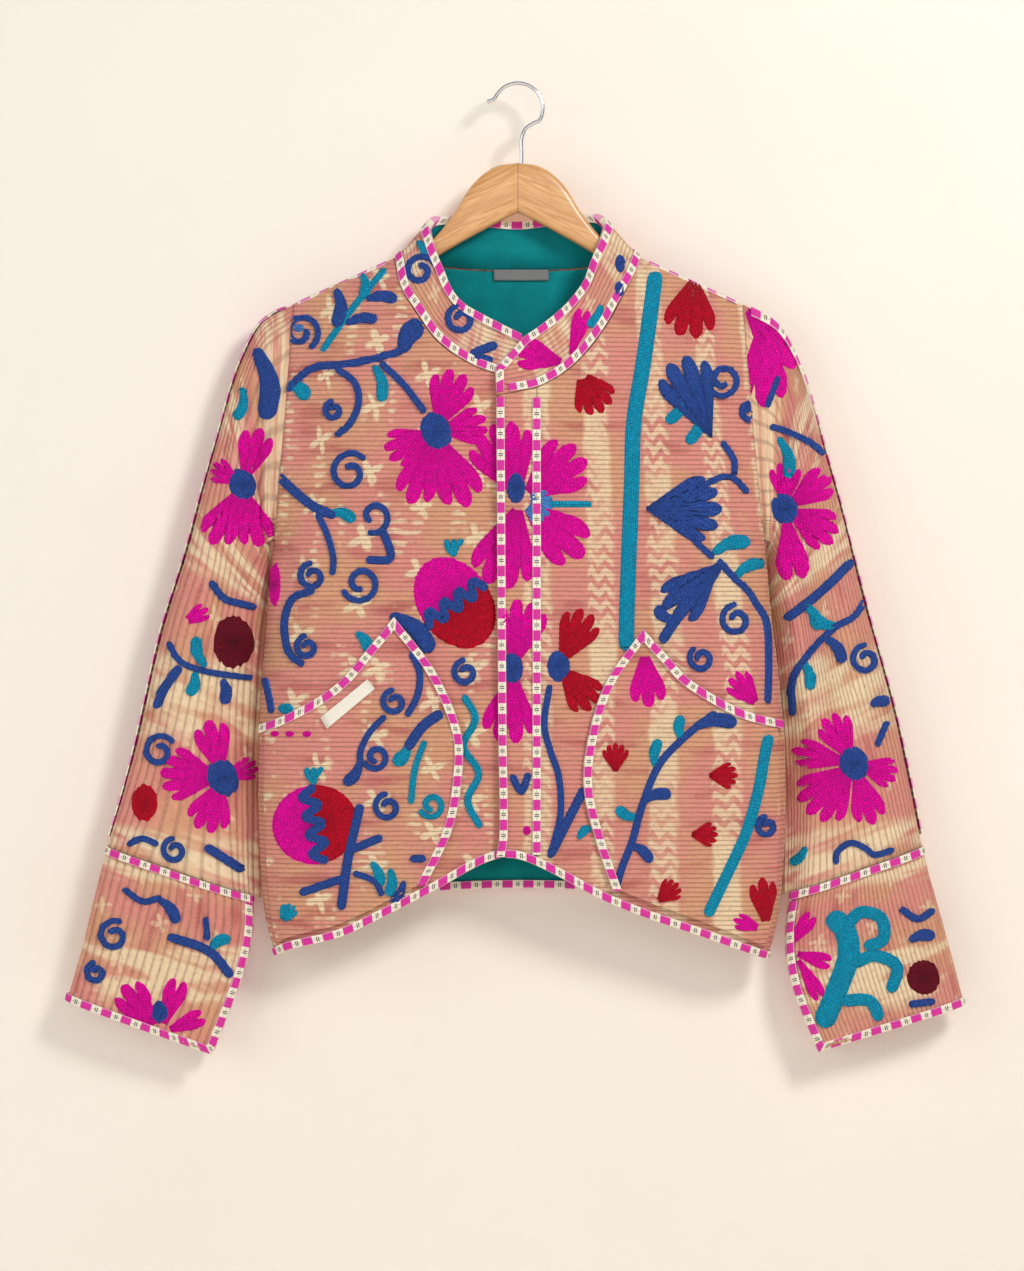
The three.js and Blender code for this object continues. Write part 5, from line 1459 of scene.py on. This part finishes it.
def label(name, corners, touch, height, look, slot):
    """A small woven patch between four corners of the front view, laid on a surface."""
    low_left, low_right, high_right, high_left = (np.array(corner) for corner in corners)
    u, w = np.linspace(0, 1, 24)[None, :, None], np.linspace(0, 1, 8)[:, None, None]
    flat_spots = lerp(lerp(low_left, low_right, u), lerp(high_left, high_right, u), w)
    a, z = body_a(flat_spots[..., 0], flat_spots[..., 1]), flat_spots[..., 1]
    spot, normal, _, _ = touch(a, z)
    swell = LABEL_SWELL * np.sin(math.pi * u[..., 0]) * np.sin(math.pi * w[..., 0])
    outer = spot + normal * (height + LABEL_THICK * np.sign(height) + swell)[..., None]
    inner = spot + normal * height
    uv = np.stack(np.broadcast_arrays(u[..., 0] * 0.05, w[..., 0] * 0.01), axis=-1)
    made = shell(name, outer, inner, uv, 3, 3)
    place_piece(made, look, slot, name)


NECK_LABEL_HEIGHT = -0.0032
left, right = NECK_LABEL["x"] - NECK_LABEL["half"], NECK_LABEL["x"] + NECK_LABEL["half"]
low, high = NECK_LABEL["z"] - NECK_LABEL["height"], NECK_LABEL["z"] + NECK_LABEL["height"]
label("neck_label", [(left, low), (right, low), (right, high), (left, high)],
      on_back, NECK_LABEL_HEIGHT, GREY_LABEL, "grey_label")
label("pocket_label", POCKET_LABEL, on_front["right"], POCKET_TOP + 0.0008, PALE_LABEL, "pale_label")


# Embroidery: each motif is a grid of places in the front view, in centimetres, laid on the cloth

THREADS = {"M": rgb("EA00A2"), "B": rgb("2E4F9E"), "T": rgb("0E97BD"), "R": rgb("BE0626"),
           "D": rgb("6B0D22"), "L": rgb("4C86CC")}
THREAD_HIGH = 0.0012
THREAD_SUNK = -0.0006
THREAD_LAYERS = {"M": 0, "R": 1, "D": 1, "L": 2, "T": 2, "B": 3}
LAYER_HIGH = 0.0003
STEEPEST = 1.6  # a patch that dips more than this for its size spans a gap, and is left out
DIP_ROOM = 0.0012
MOTIF_SHIFT = 0.0531
STITCH_STEP = 0.24
PETAL_ANGLE = 15
LEAF_BEND = 0.12
ZIGZAG = 1.4


def curve(knots, width):
    """Places along a smooth curve through knots, closer together at its two ends, with their run in cm."""
    knots = np.array(knots, float)
    run = arc_lengths(knots)
    near = width * np.array([0.02, 0.08, 0.22])
    at = np.linspace(0, run[-1], max(int(run[-1] / STITCH_STEP), 4))
    at = np.clip(np.sort(np.concatenate([at, near, run[-1] - near])), 0, run[-1])
    return np.stack([hermite(run, knots[:, k], at) for k in (0, 1)], axis=-1), at


def ribbon(colour, width, knots, start=1.0, end=1.0):
    """A row of stitches along a curve with round ends, start and end being the shares of the width there."""
    line, run = curve(knots, width)
    way = unit(np.gradient(line, axis=0) + 1e-9)
    square = np.stack([-way[:, 1], way[:, 0]], axis=-1)
    across = np.array([-1, -0.85, -0.4, 0.4, 0.85, 1])
    half = width / 2 * np.interp(run / run[-1], (0, 0.6, 1), (start, 1, end))
    near = np.minimum(np.minimum(run, run[-1] - run) / half, 1)
    half = half * np.sqrt(1 - (1 - near) ** 2).clip(0.15)
    places = line[:, None] + square[:, None] * (half[:, None] * across)[..., None]
    high = np.broadcast_to(np.abs(across) < 0.99, places.shape[:2]).copy()
    high[[0, -1]] = False
    flat_place = np.stack(np.broadcast_arrays(run[:, None], across * half[:, None]), axis=-1)
    return places, high, flat_place * CM, colour


def stem(colour, width, *places):
    return [ribbon(colour, width, np.reshape(places, (-1, 2)))]


def leaf(colour, width, *places):
    """A finger of stitches between two places, bent a little, narrow at its start and blunt at its end."""
    start, end = np.reshape(places, (2, 2))
    middle = (start + end) / 2 + np.array([start[1] - end[1], end[0] - start[0]]) * LEAF_BEND
    return [ribbon(colour, width, (start, middle, end), 0.5, 0.9)]


def curl(colour, x, z, radius, start=90, turns=1.25, width=0.62):
    share = np.linspace(0, 1, 14)
    angle = math.radians(start) + share * turns * 2 * math.pi
    far = radius * (1 - 0.72 * share)
    return [ribbon(colour, width, np.stack([x + far * np.cos(angle), z + far * np.sin(angle)], axis=-1), 0.9)]


def polar(colour, x, z, angles, near, far, rim=False):
    """A patch between two radii, stitched in rows that run outwards."""
    t = np.linspace(0, 1, max(int(np.max(far - near) / 0.24), 5))[None, :, None]
    way = np.stack([np.cos(angles), np.sin(angles)], axis=-1)[:, None]
    radii = near + (far[:, None, None] - near) * t
    places = np.array([x, z]) + way * radii
    high = np.ones(places.shape[:2], bool)
    high[:, -1] = False
    if rim:
        high[[0, -1]] = False
        high[:, 0] = near == 0
    around = (angles - angles[0])[:, None] * np.max(far) * 0.6
    flat_place = np.stack(np.broadcast_arrays(radii[..., 0], around), axis=-1)
    return [(places, high, flat_place * CM, colour)]


def fan(colour, x, z, direction, spread, length, near=0.9):
    """Petals side by side, parted by notches between their round tips."""
    petals = max(round(spread / PETAL_ANGLE), 2)
    share = np.linspace(-1, 1, petals * 9 + 1)
    place = (share + 1) / 2 * petals % 1
    tip = np.sqrt(1 - (2 * place - 1) ** 2)
    angles = np.radians(direction + share * spread / 2)
    return polar(colour, x, z, angles, near, length * (0.76 + 0.24 * tip) * (1 - 0.22 * share ** 2), rim=True)


def oval(colour, x, z, wide, tall, tilt=0.0):
    angles = np.linspace(0, 2 * math.pi, 26)
    far = wide * tall / np.hypot(tall * np.cos(angles), wide * np.sin(angles))
    return polar(colour, x, z, angles + math.radians(tilt), 0.0, far)


def flower(colour, x, z, core, *petals):
    """Fans, each given by a direction, a spread and a length, round a blue core."""
    made = []
    for direction, spread, length in np.reshape(petals, (-1, 3)):
        made += fan(colour, x, z, direction, spread, length, core * 0.75)
    return made + oval("B", x, z, core, core * 1.25, 20)


def pomegranate(colours, x, z, wide, tall, tilt=30):
    """A round fruit with a crown, in two colours with a zigzag band between."""
    made = []
    angles = np.linspace(0, 2 * math.pi, 60)
    far = wide * tall / 4 / np.hypot(tall / 2 * np.cos(angles), wide / 2 * np.sin(angles))
    halves = ((0, 30, colours[0]), (29, 60, colours[1]))
    for low, high, colour in halves:
        made += polar(colour, x, z, angles[low:high] + math.radians(tilt), 0.0, far[low:high])
    band_way = np.array([math.cos(math.radians(tilt)), math.sin(math.radians(tilt))])
    reach = np.linspace(-0.47, 0.47, 9)[:, None] * wide
    swing = (np.arange(9) % 2 - 0.5)[:, None] * ZIGZAG
    zigzag = np.array([x, z]) + band_way * reach + band_way[::-1] * [-1, 1] * swing
    made += stem("B", 0.9, *zigzag.ravel())
    for lean in (60, 90, 120):
        aside = 1.5 * math.cos(math.radians(lean))
        made += leaf("T", 0.6, x, z + tall * 0.46, x + aside, z + tall * 0.5 + 1.2)
    return made


KINDS = {kind.__name__: kind for kind in (stem, leaf, curl, fan, oval, flower, pomegranate)}


def motifs(text):
    """Motifs from lines that each give a kind, its thread and its numbers in centimetres and degrees."""
    made = []
    for line in text.strip().splitlines():
        kind, thread, *numbers = line.replace(",", " ").split()
        made += KINDS[kind](thread, *(float(number) for number in numbers))
    return made


RIGHT_FRONT = motifs("""
stem T 0.62 -12.2,-17.1 -15,-20.6 -18,-24.8
leaf T 1.1 -14.3,-17.6 -14.3,-20
leaf B 1.2 -13.9,-20 -11.1,-20.1
leaf B 1.1 -15.8,-22.3 -12.9,-21.9
leaf B 1.4 -16.7,-19 -16.7,-22.6
curl B -20,-23 1.8 300
oval L -20.2,-22.6 0.5 0.4
stem B 0.72 -21.3,-28.4 -19,-26.4 -16.7,-26.1 -13.9,-25.7 -10.5,-24.8
leaf B 2.1 -10.6,-25 -8.8,-22.2
leaf T 1.5 -21.1,-27.7 -19.3,-29.2
leaf T 1.2 -13.2,-26.1 -12.5,-29.5
stem B 0.66 -12.6,-25.9 -10.5,-27.9 -8.5,-30.5
flower M -7.5,-32.2 1.5 70,60,6 205,60,5.2 250,45,7.2 293,48,7.6 8,60,4.9
stem B 0.66 -16.7,-26.4 -15,-27.7 -14.6,-29.5 -15.4,-31.5 -16.7,-32.6
curl B -16.9,-30.3 0.9
curl B -15.4,-36 1.9 40
stem B 0.9 -22.1,-36.2 -19,-38.9 -16.7,-40
leaf T 1.2 -17.2,-39.6 -14.9,-40.4
stem B 0.62 -18.4,-39.7 -17.5,-41.6 -16.9,-43.8 -17,-45.4
curl B -18.8,-45.5 1.3
curl B -14.4,-46.1 1.8 200
curl B -13.2,-40 1.6 250 1
stem B 0.8 -12.4,-41.2 -11.7,-43.8 -13.9,-44
stem B 0.72 -18.6,-46.7 -20.6,-47.5 -21.3,-48.9 -21.4,-50.6 -20.9,-52.6 -19.6,-53.6
curl B -19.3,-52 1.1
oval M -22.4,-46.2 0.6 2.3
leaf T 1.2 -14.8,-50.6 -13.6,-52.4
stem B 0.62 -23.3,-54.8 -22.8,-56.8 -22.6,-58
oval T -21.3,-57.6 0.8 0.5
pomegranate MR -5.8,-47.9 6.8 9.2 35
leaf B 1.8 -11.7,-49 -7.9,-52.4
curl B -4.8,-54.3 1.2
stem T 0.7 -5,-56.4 -3.9,-58.5 -5,-61 -3.6,-63.5 -4.6,-66 -3.4,-68.5
""")
RIGHT_POCKET = motifs("""
oval M -22.3,-59.9 0.45 0.3
oval M -20.9,-59.9 0.45 0.3
oval M -19.3,-59.9 0.45 0.3
stem B 0.66 -9.8,-52.4 -9,-54.3 -9.2,-56.4 -10.2,-58.3
curl B -11.3,-57 1.2
stem B 0.62 -12.1,-58.2 -13.6,-59.8 -14.4,-61.5 -14.4,-62.6
curl B -13,-62 1.2 200
leaf B 1.2 -14.4,-62.4 -15.9,-64.5
stem B 1 -6.9,-57.9 -8.7,-59.2 -10.2,-61.3
leaf T 1.4 -10,-61 -11.4,-62.6
stem T 0.62 -8.5,-60.5 -9.4,-63 -9.8,-66.3
curl B -11.9,-66.6 1.3
curl T -7.9,-66.4 1.2 200
pomegranate MR -18.6,-68.2 7.4 8.1 100
stem B 0.9 -14.4,-66.3 -15.5,-71.1 -16.2,-76
stem B 0.8 -12.4,-69.3 -15.7,-70.7
stem B 0.8 -20,-74.5 -15.7,-73
stem B 0.62 -15.1,-72.6 -13.1,-73.4 -12.4,-74.7
leaf T 1.1 -13.4,-71.6 -12.6,-73.9
leaf T 1.1 -11.7,-72.2 -11.9,-74.7
leaf B 0.94 -10.4,-73.3 -11.6,-75.3
stem B 0.72 -9.9,-71.3 -8.4,-71.3
fan T -21.8,-77.5 60 60 2.4 0.5
""")
COLLAR_MOTIFS = motifs("""
curl B -9,-17.4 1.5 20
curl B -5.2,-21.9 1.4 100
leaf T 1.1 -9.3,-14.6 -8.4,-16
stem B 0.9 -1.9,-24.2 -4.1,-25.2 -2.3,-25.8
fan M 4.6,-26.1 165 50 5.2 0.6
fan M 4.6,-26.1 74 26 5.6 0.8
oval B 9.4,-16.7 0.5 0.9
oval B 9.3,-19.2 0.5 0.9
leaf T 1.1 7.6,-20.6 6.4,-22.6
""")
PLACKET_MOTIFS = motifs("""
fan M 0.2,-38.5 110 70 7.5
fan M 0.2,-38.5 255 60 8.5
oval B -0.2,-37.4 0.9 1.5
fan M -0.4,-53.9 80 60 6.5
fan M -0.4,-53.9 265 60 7
oval B -0.5,-53.9 1 1.6
stem B 0.72 -0.6,-63.6 0.3,-65.1 1,-63.4
oval M 0.8,-68.7 0.4 0.5
""")
LEFT_FRONT = motifs("""
stem T 1.5 12.7,-17.4 11.5,-25.8 10.6,-31.4 10.4,-37 10,-47.5 9.9,-52.3
fan R 5.5,-26.6 300 75 4.6
fan R 16.4,-17.4 262 64 6.4 0.3
fan M 0.2,-38.5 38 62 7.3
fan M 0.2,-38.5 318 52 7.9
fan L 0.2,-38.5 340 90 3.2
stem T 0.62 2.6,-38.9 6.7,-38.9
fan R 3.7,-53.7 62 55 5.8
fan R 3.7,-53.7 312 60 5.2
oval B 3.7,-53.7 1.1 1.5
stem B 0.62 2.9,-55.4 2.4,-59 2.9,-61.3 3.7,-63.7 3.9,-67 3.4,-69.3 2.9,-71.2
stem B 0.9 2.9,-71 6.1,-64.8
leaf T 0.94 5.5,-69.5 6.6,-68.4
fan B 17.8,-32.9 114 54 8.2 0.1
leaf T 1.2 15.2,-29 13.6,-31.4
leaf T 1.2 16.7,-30.6 15.5,-33.3
stem B 0.62 18.7,-33.1 19.8,-34.8 19.8,-36.3
curl B 18.8,-27.4 1.6 230
curl B 21.3,-30.4 0.9
fan B 11.6,-39.3 0 72 7.2 0.1
stem B 0.62 16,-38 17.1,-37.1 18.7,-36.4 19.8,-36.5 21.1,-37.8
stem B 0.62 15.6,-41.6 17.1,-43.1 17.9,-43.8
leaf T 1.4 17.8,-43.4 21.3,-42.3
fan B 18.6,-44.2 224 54 7 0.1
stem B 1 18.4,-44.5 17.1,-46.4 14.5,-49.4 13.1,-51.5
leaf B 1.2 15.4,-48.2 14,-45.8
leaf B 1.2 14.4,-49.6 12.6,-48.3
curl B 16.8,-53 1.2 120
stem B 0.66 18.3,-44 19.8,-45.6 21.1,-46.8 21.8,-47.9 22.8,-49.6 23,-53.4 22.9,-57.1
leaf T 1.2 19.8,-45.6 22.6,-44.2
curl B 20,-49.5 1.5
fan M 22.2,-57.6 130 55 4.2 0.6
""")
LEFT_POCKET = motifs("""
fan M 11.5,-51.9 275 50 5.7
fan R 8.9,-63.6 90 70 3 0.2
fan R 17.2,-63.7 0 70 3 0.2
fan R 15.6,-69.1 0 70 2.8 0.2
fan R 12.6,-75.3 40 70 2.8 0.2
stem B 0.72 18.1,-57.9 15.3,-60.1 12.9,-62.7 11.3,-66.6 10.4,-69.8 9.5,-72.1 8.9,-74.2
leaf B 1.4 16,-59.3 20,-58.9
leaf T 1.1 15,-60.5 14.9,-58.2
leaf T 1.1 12.6,-63 12.9,-60.4
leaf B 1.2 11.5,-66 14,-65.4
leaf T 1.1 11,-67.6 9,-66.6
leaf B 1.1 10.2,-70 12.2,-71.6
stem T 1.1 23,-60 22.6,-61.8 22,-65.1 20.9,-68.9 19.6,-71.8 18.1,-74.9 17.3,-76.6
curl B 22.8,-68.4 1
fan R 22.8,-78 95 45 5 0.8
fan M 22.8,-78 160 40 3.4 0.8
""")
LEFT_SLEEVE = motifs("""
fan M 20.8,-20.6 318 62 7.6 0.4
fan M 22.4,-21.4 272 44 8.6 0.4
stem B 0.62 24,-27 22.9,-29.9
stem B 0.62 23.2,-31.6 24.6,-32 26.8,-33.1 28.2,-34.2
leaf T 1.2 24,-32.6 25,-36.4
flower M 24.6,-39.2 1.3 35,51,5.4 330,60,5.6 278,37,7 90,57,4.4
stem B 0.9 24.7,-49.4 27.8,-46.9 30.8,-44
leaf T 1.2 26.4,-48 27.6,-50.4
stem B 0.66 32.1,-47.6 30.8,-49.2 29.2,-50.1 27,-52.3 25.4,-54.9 25.4,-58.3
leaf T 1.2 29.4,-50 27.2,-49.2
leaf B 1.2 28.2,-51 29.9,-53.4
leaf T 1.1 26.2,-53.2 26.9,-55.9
curl B 32,-53.1 1.4
leaf B 1.2 32.4,-57.3 34.2,-57
stem B 0.62 34,-58.8 33,-61.1
flower M 30.9,-62.7 1.4 118,54,5.2 168,40,5.8 228,71,6.4 288,45,6 345,54,4.4
stem B 0.62 29.3,-72 29.4,-70.9 30.6,-70 32,-70.5 32.8,-71.1 34.6,-70.6
leaf T 0.94 26.6,-70.4 25.2,-72
""")
LEFT_CUFF = motifs("""
stem T 2.1 28.6,-76.6 30.1,-78 30.5,-80.2 29.5,-83.3 28,-87
stem T 1.2 30.3,-77.6 31.6,-76.4 33.5,-77 33.6,-78.9 31.9,-79.6
stem T 1.2 30.8,-81.2 32.8,-80.4 34.9,-81.4 34.3,-83.8
stem T 1.2 29.8,-84.6 32.4,-84.6 33.4,-86.4
fan M 24.8,-80 55 30 4.4
fan M 24.8,-80 345 30 4.5
fan M 25.4,-80 300 24 5.4
stem B 0.72 35.2,-76 36.8,-77 38.4,-76.2
leaf B 1.2 36,-79 38.4,-78.6
oval D 37.4,-82.4 1.6 1.7 20
stem B 0.72 36,-84.9 38.4,-84.6
""")
RIGHT_SLEEVE = motifs("""
leaf B 2.1 -24.2,-24.4 -23.2,-31
leaf T 1.1 -25.4,-28 -26,-31
flower M -25.4,-37 1.3 72,51,5.6 243,48,6.3 286,48,6.1 150,57,3.6
fan M -31.2,-50 30 44 3.3
stem B 0.72 -28.3,-45.9 -27,-47.5 -25.4,-48 -24.2,-48.3
oval D -26.2,-51.5 1.9 2.5
stem B 0.62 -32.2,-51.5 -31,-53.3 -28.7,-54.2 -24.6,-54.8
leaf T 1.2 -28.7,-53.8 -29.6,-51
leaf T 1.2 -29.7,-54.2 -30.3,-56.4
leaf B 1.2 -27.2,-54.9 -27.1,-57.2
stem B 0.9 -31,-53.7 -32.4,-55.6 -33.4,-57.6
curl B -33,-61.6 1.6 30
flower M -27.2,-64 1.5 175,71,5.9 104,51,5.6 250,64,5.4 20,57,3.4
oval R -34.4,-66.3 1.3 1.8
stem B 0.62 -36,-70.2 -34.6,-69.6 -33.1,-70.2
curl B -31.6,-70.7 1.2
stem B 0.9 -28.8,-70.3 -26.8,-71.6 -25.4,-72.6
""")
RIGHT_CUFF = motifs("""
stem B 0.62 -36.4,-74.2 -34.6,-75.4 -32.8,-75
leaf B 1.2 -33,-75.2 -31.4,-77.4
stem B 0.62 -28.8,-76.8 -28.6,-79
stem B 0.9 -32.2,-78.6 -28.5,-80 -26.4,-82.4
leaf T 1.2 -28.4,-79.8 -26.6,-78.8
curl B -37.2,-78.6 1.5 60
curl B -38.9,-82 1
fan M -33,-87.6 128 50 5.8
fan M -33,-87.6 70 34 5.6
fan M -33,-87.6 22 34 4.6
oval B -33,-85.6 0.9 1.1
""")


def mirrored(made):
    return [(places * [-1, 1], high, flat_place, colour) for places, high, flat_place, colour in made]


def embroider(name, made_motifs, targets, front=True):
    """Lays motifs on pieces of cloth, seen from the front or from behind, as one mesh."""
    spots, faces, first = [], [], 0
    trees = []
    for target in targets:
        mesh = target.data
        trees.append(BVHTree.FromPolygons([v.co for v in mesh.vertices], [p.vertices for p in mesh.polygons]))
    way = Vector((0, 1 if front else -1, 0))
    colours, uvs = [], []
    for number, (places, high, flat_place, colour) in enumerate(made_motifs):
        rows, columns = high.shape
        top = THREAD_HIGH + THREAD_LAYERS[colour] * LAYER_HIGH
        laid = np.full((rows, columns, 3), np.nan)
        for i in range(rows):
            for j in range(columns):
                start = Vector((places[i, j, 0] * CM, -way.y, places[i, j, 1] * CM))
                hits = [hit for hit in (tree.ray_cast(start, way) for tree in trees) if hit[0]]
                if not hits:
                    continue
                spot, normal, _, _ = min(hits, key=lambda hit: hit[3])
                if normal.dot(way) > 0:
                    normal = -normal
                laid[i, j] = spot + normal * (top if high[i, j] else THREAD_SUNK)
        spots.append(laid.reshape(-1, 3))
        quads = grid_quads(rows, columns)
        corners = laid.reshape(-1, 3)[quads]
        size = np.linalg.norm(corners[:, 0] - corners[:, 2], axis=-1)
        deep = np.ptp(corners[..., 1], axis=1)
        flat_size = np.linalg.norm((corners[:, 0] - corners[:, 2])[:, [0, 2]], axis=-1)
        keep = np.isfinite(size) & (deep < STEEPEST * flat_size + DIP_ROOM)
        faces.append(quads[keep] + first)
        first += rows * columns
        colours.append(np.tile([*THREADS[colour], 1.0], (rows * columns, 1)))
        uvs.append(flat_place.reshape(-1, 2) + number * MOTIF_SHIFT)
    spots, faces = np.concatenate(spots), np.concatenate(faces)
    used, packed = np.unique(faces, return_inverse=True)
    faces = packed.reshape(faces.shape)
    made = build_mesh(name, spots[used], faces, np.concatenate(uvs)[used], merge=False)
    layer = made.data.color_attributes.new("thread", "FLOAT_COLOR", "POINT")
    layer.data.foreach_set("color", np.concatenate(colours)[used].astype(np.float32).ravel())
    place_piece(made, THREAD_LOOK, "cloth")


FRONT_CLOTH = [right_front, left_front, placket, pockets["right"], pockets["left"]]
SLEEVE_CLOTH = {side: [sleeves[side, "front"], sleeves[side, "back"], cuffs[side]]
                for side in ("right", "left")}
embroider("embroidery_front_right", RIGHT_FRONT + RIGHT_POCKET, FRONT_CLOTH)
embroider("embroidery_front_left", LEFT_FRONT + LEFT_POCKET + PLACKET_MOTIFS, FRONT_CLOTH)
embroider("embroidery_collar", COLLAR_MOTIFS, [collar])
embroider("embroidery_sleeve_right", RIGHT_SLEEVE + RIGHT_CUFF, SLEEVE_CLOTH["right"])
embroider("embroidery_sleeve_left", LEFT_SLEEVE + LEFT_CUFF, SLEEVE_CLOTH["left"])
embroider("embroidery_back", RIGHT_FRONT + mirrored(RIGHT_FRONT) + RIGHT_POCKET + LEFT_POCKET, [back],
          front=False)
embroider("embroidery_sleeve_right_back", mirrored(LEFT_SLEEVE + LEFT_CUFF), SLEEVE_CLOTH["right"],
          front=False)
embroider("embroidery_sleeve_left_back", mirrored(RIGHT_SLEEVE + RIGHT_CUFF), SLEEVE_CLOTH["left"],
          front=False)


# Stage: a pale wall behind and a pale floor far below

def stage_plane(name, corners, look):
    """A flat surface that casts no shadow, so that the lamp behind lights the jacket's back."""
    mesh = bpy.data.meshes.new(name)
    mesh.from_pydata(corners, [], [(0, 1, 2, 3)])
    made = bpy.data.objects.new(name, mesh)
    bpy.context.collection.objects.link(made)
    made.data.materials.append(look)
    made.visible_shadow = False


def wall_material():
    """Pale plaster, seen only from the side that faces the jacket."""
    made, shader = new_material("pale_wall", 0.92)
    node = made.node_tree.nodes.new("ShaderNodeTexCoord")
    patches = cloud(node.outputs["Object"], 3.0, 3.0)
    finish_material(shader, blend_colour(patches, rgb("ECE4D9"), rgb("F1EBE1")))
    clear = made.node_tree.nodes.new("ShaderNodeBsdfTransparent")
    mix = made.node_tree.nodes.new("ShaderNodeMixShader")
    side = made.node_tree.nodes.new("ShaderNodeNewGeometry")
    out = made.node_tree.nodes["Material Output"]
    links = made.node_tree.links
    links.new(side.outputs["Backfacing"], mix.inputs[0])
    links.new(shader.outputs[0], mix.inputs[1])
    links.new(clear.outputs[0], mix.inputs[2])
    links.new(mix.outputs[0], out.inputs[0])
    return made


WALL_Y = 0.034
FLOOR_Z = -1.35
WIDE = 3.0
WALL_LOOK = wall_material()
stage_plane("wall", [(-WIDE, WALL_Y, FLOOR_Z), (WIDE, WALL_Y, FLOOR_Z), (WIDE, WALL_Y, 1.6),
                     (-WIDE, WALL_Y, 1.6)], WALL_LOOK)
stage_plane("floor", [(-WIDE, -WIDE, FLOOR_Z), (WIDE, -WIDE, FLOOR_Z), (WIDE, WIDE, FLOOR_Z),
                      (-WIDE, WIDE, FLOOR_Z)], WALL_LOOK)


def area_light(name, place, aim, size, power, colour=(1, 1, 1)):
    data = bpy.data.lights.new(name, "AREA")
    data.shape = "DISK"
    data.size = size
    data.energy = power
    data.color = colour
    lamp = bpy.data.objects.new(name, data)
    lamp.location = place
    lamp.rotation_euler = (Vector(aim) - Vector(place)).to_track_quat("-Z", "Y").to_euler()
    bpy.context.collection.objects.link(lamp)


MIDDLE = (-0.0055, 0.0, -0.509)
CAMERA_Y = -3.2
area_light("key", (1.3, -1.9, 0.9), MIDDLE, 0.7, 39, (1.0, 0.98, 0.96))
area_light("fill", (-1.9, -1.7, -0.2), MIDDLE, 2.2, 19, (0.98, 0.98, 1.0))
area_light("front", (0.2, -3.0, 0.1), MIDDLE, 2.4, 15)
area_light("behind", (0.5, 2.6, 0.5), MIDDLE, 2.2, 56)

world = bpy.data.worlds.new("room")
world.use_nodes = True
world.node_tree.nodes["Background"].inputs["Color"].default_value = (0.98, 0.98, 0.97, 1)
world.node_tree.nodes["Background"].inputs["Strength"].default_value = 0.25
bpy.context.scene.world = world
bpy.context.scene.view_settings.view_transform = "Standard"

camera = bpy.data.objects.new("camera", bpy.data.cameras.new("camera"))
camera.data.lens = 98
camera.data.sensor_width = 36
camera.location = (MIDDLE[0], CAMERA_Y, MIDDLE[2])
camera.rotation_euler = (math.pi / 2, 0, 0)
bpy.context.collection.objects.link(camera)
bpy.context.scene.camera = camera
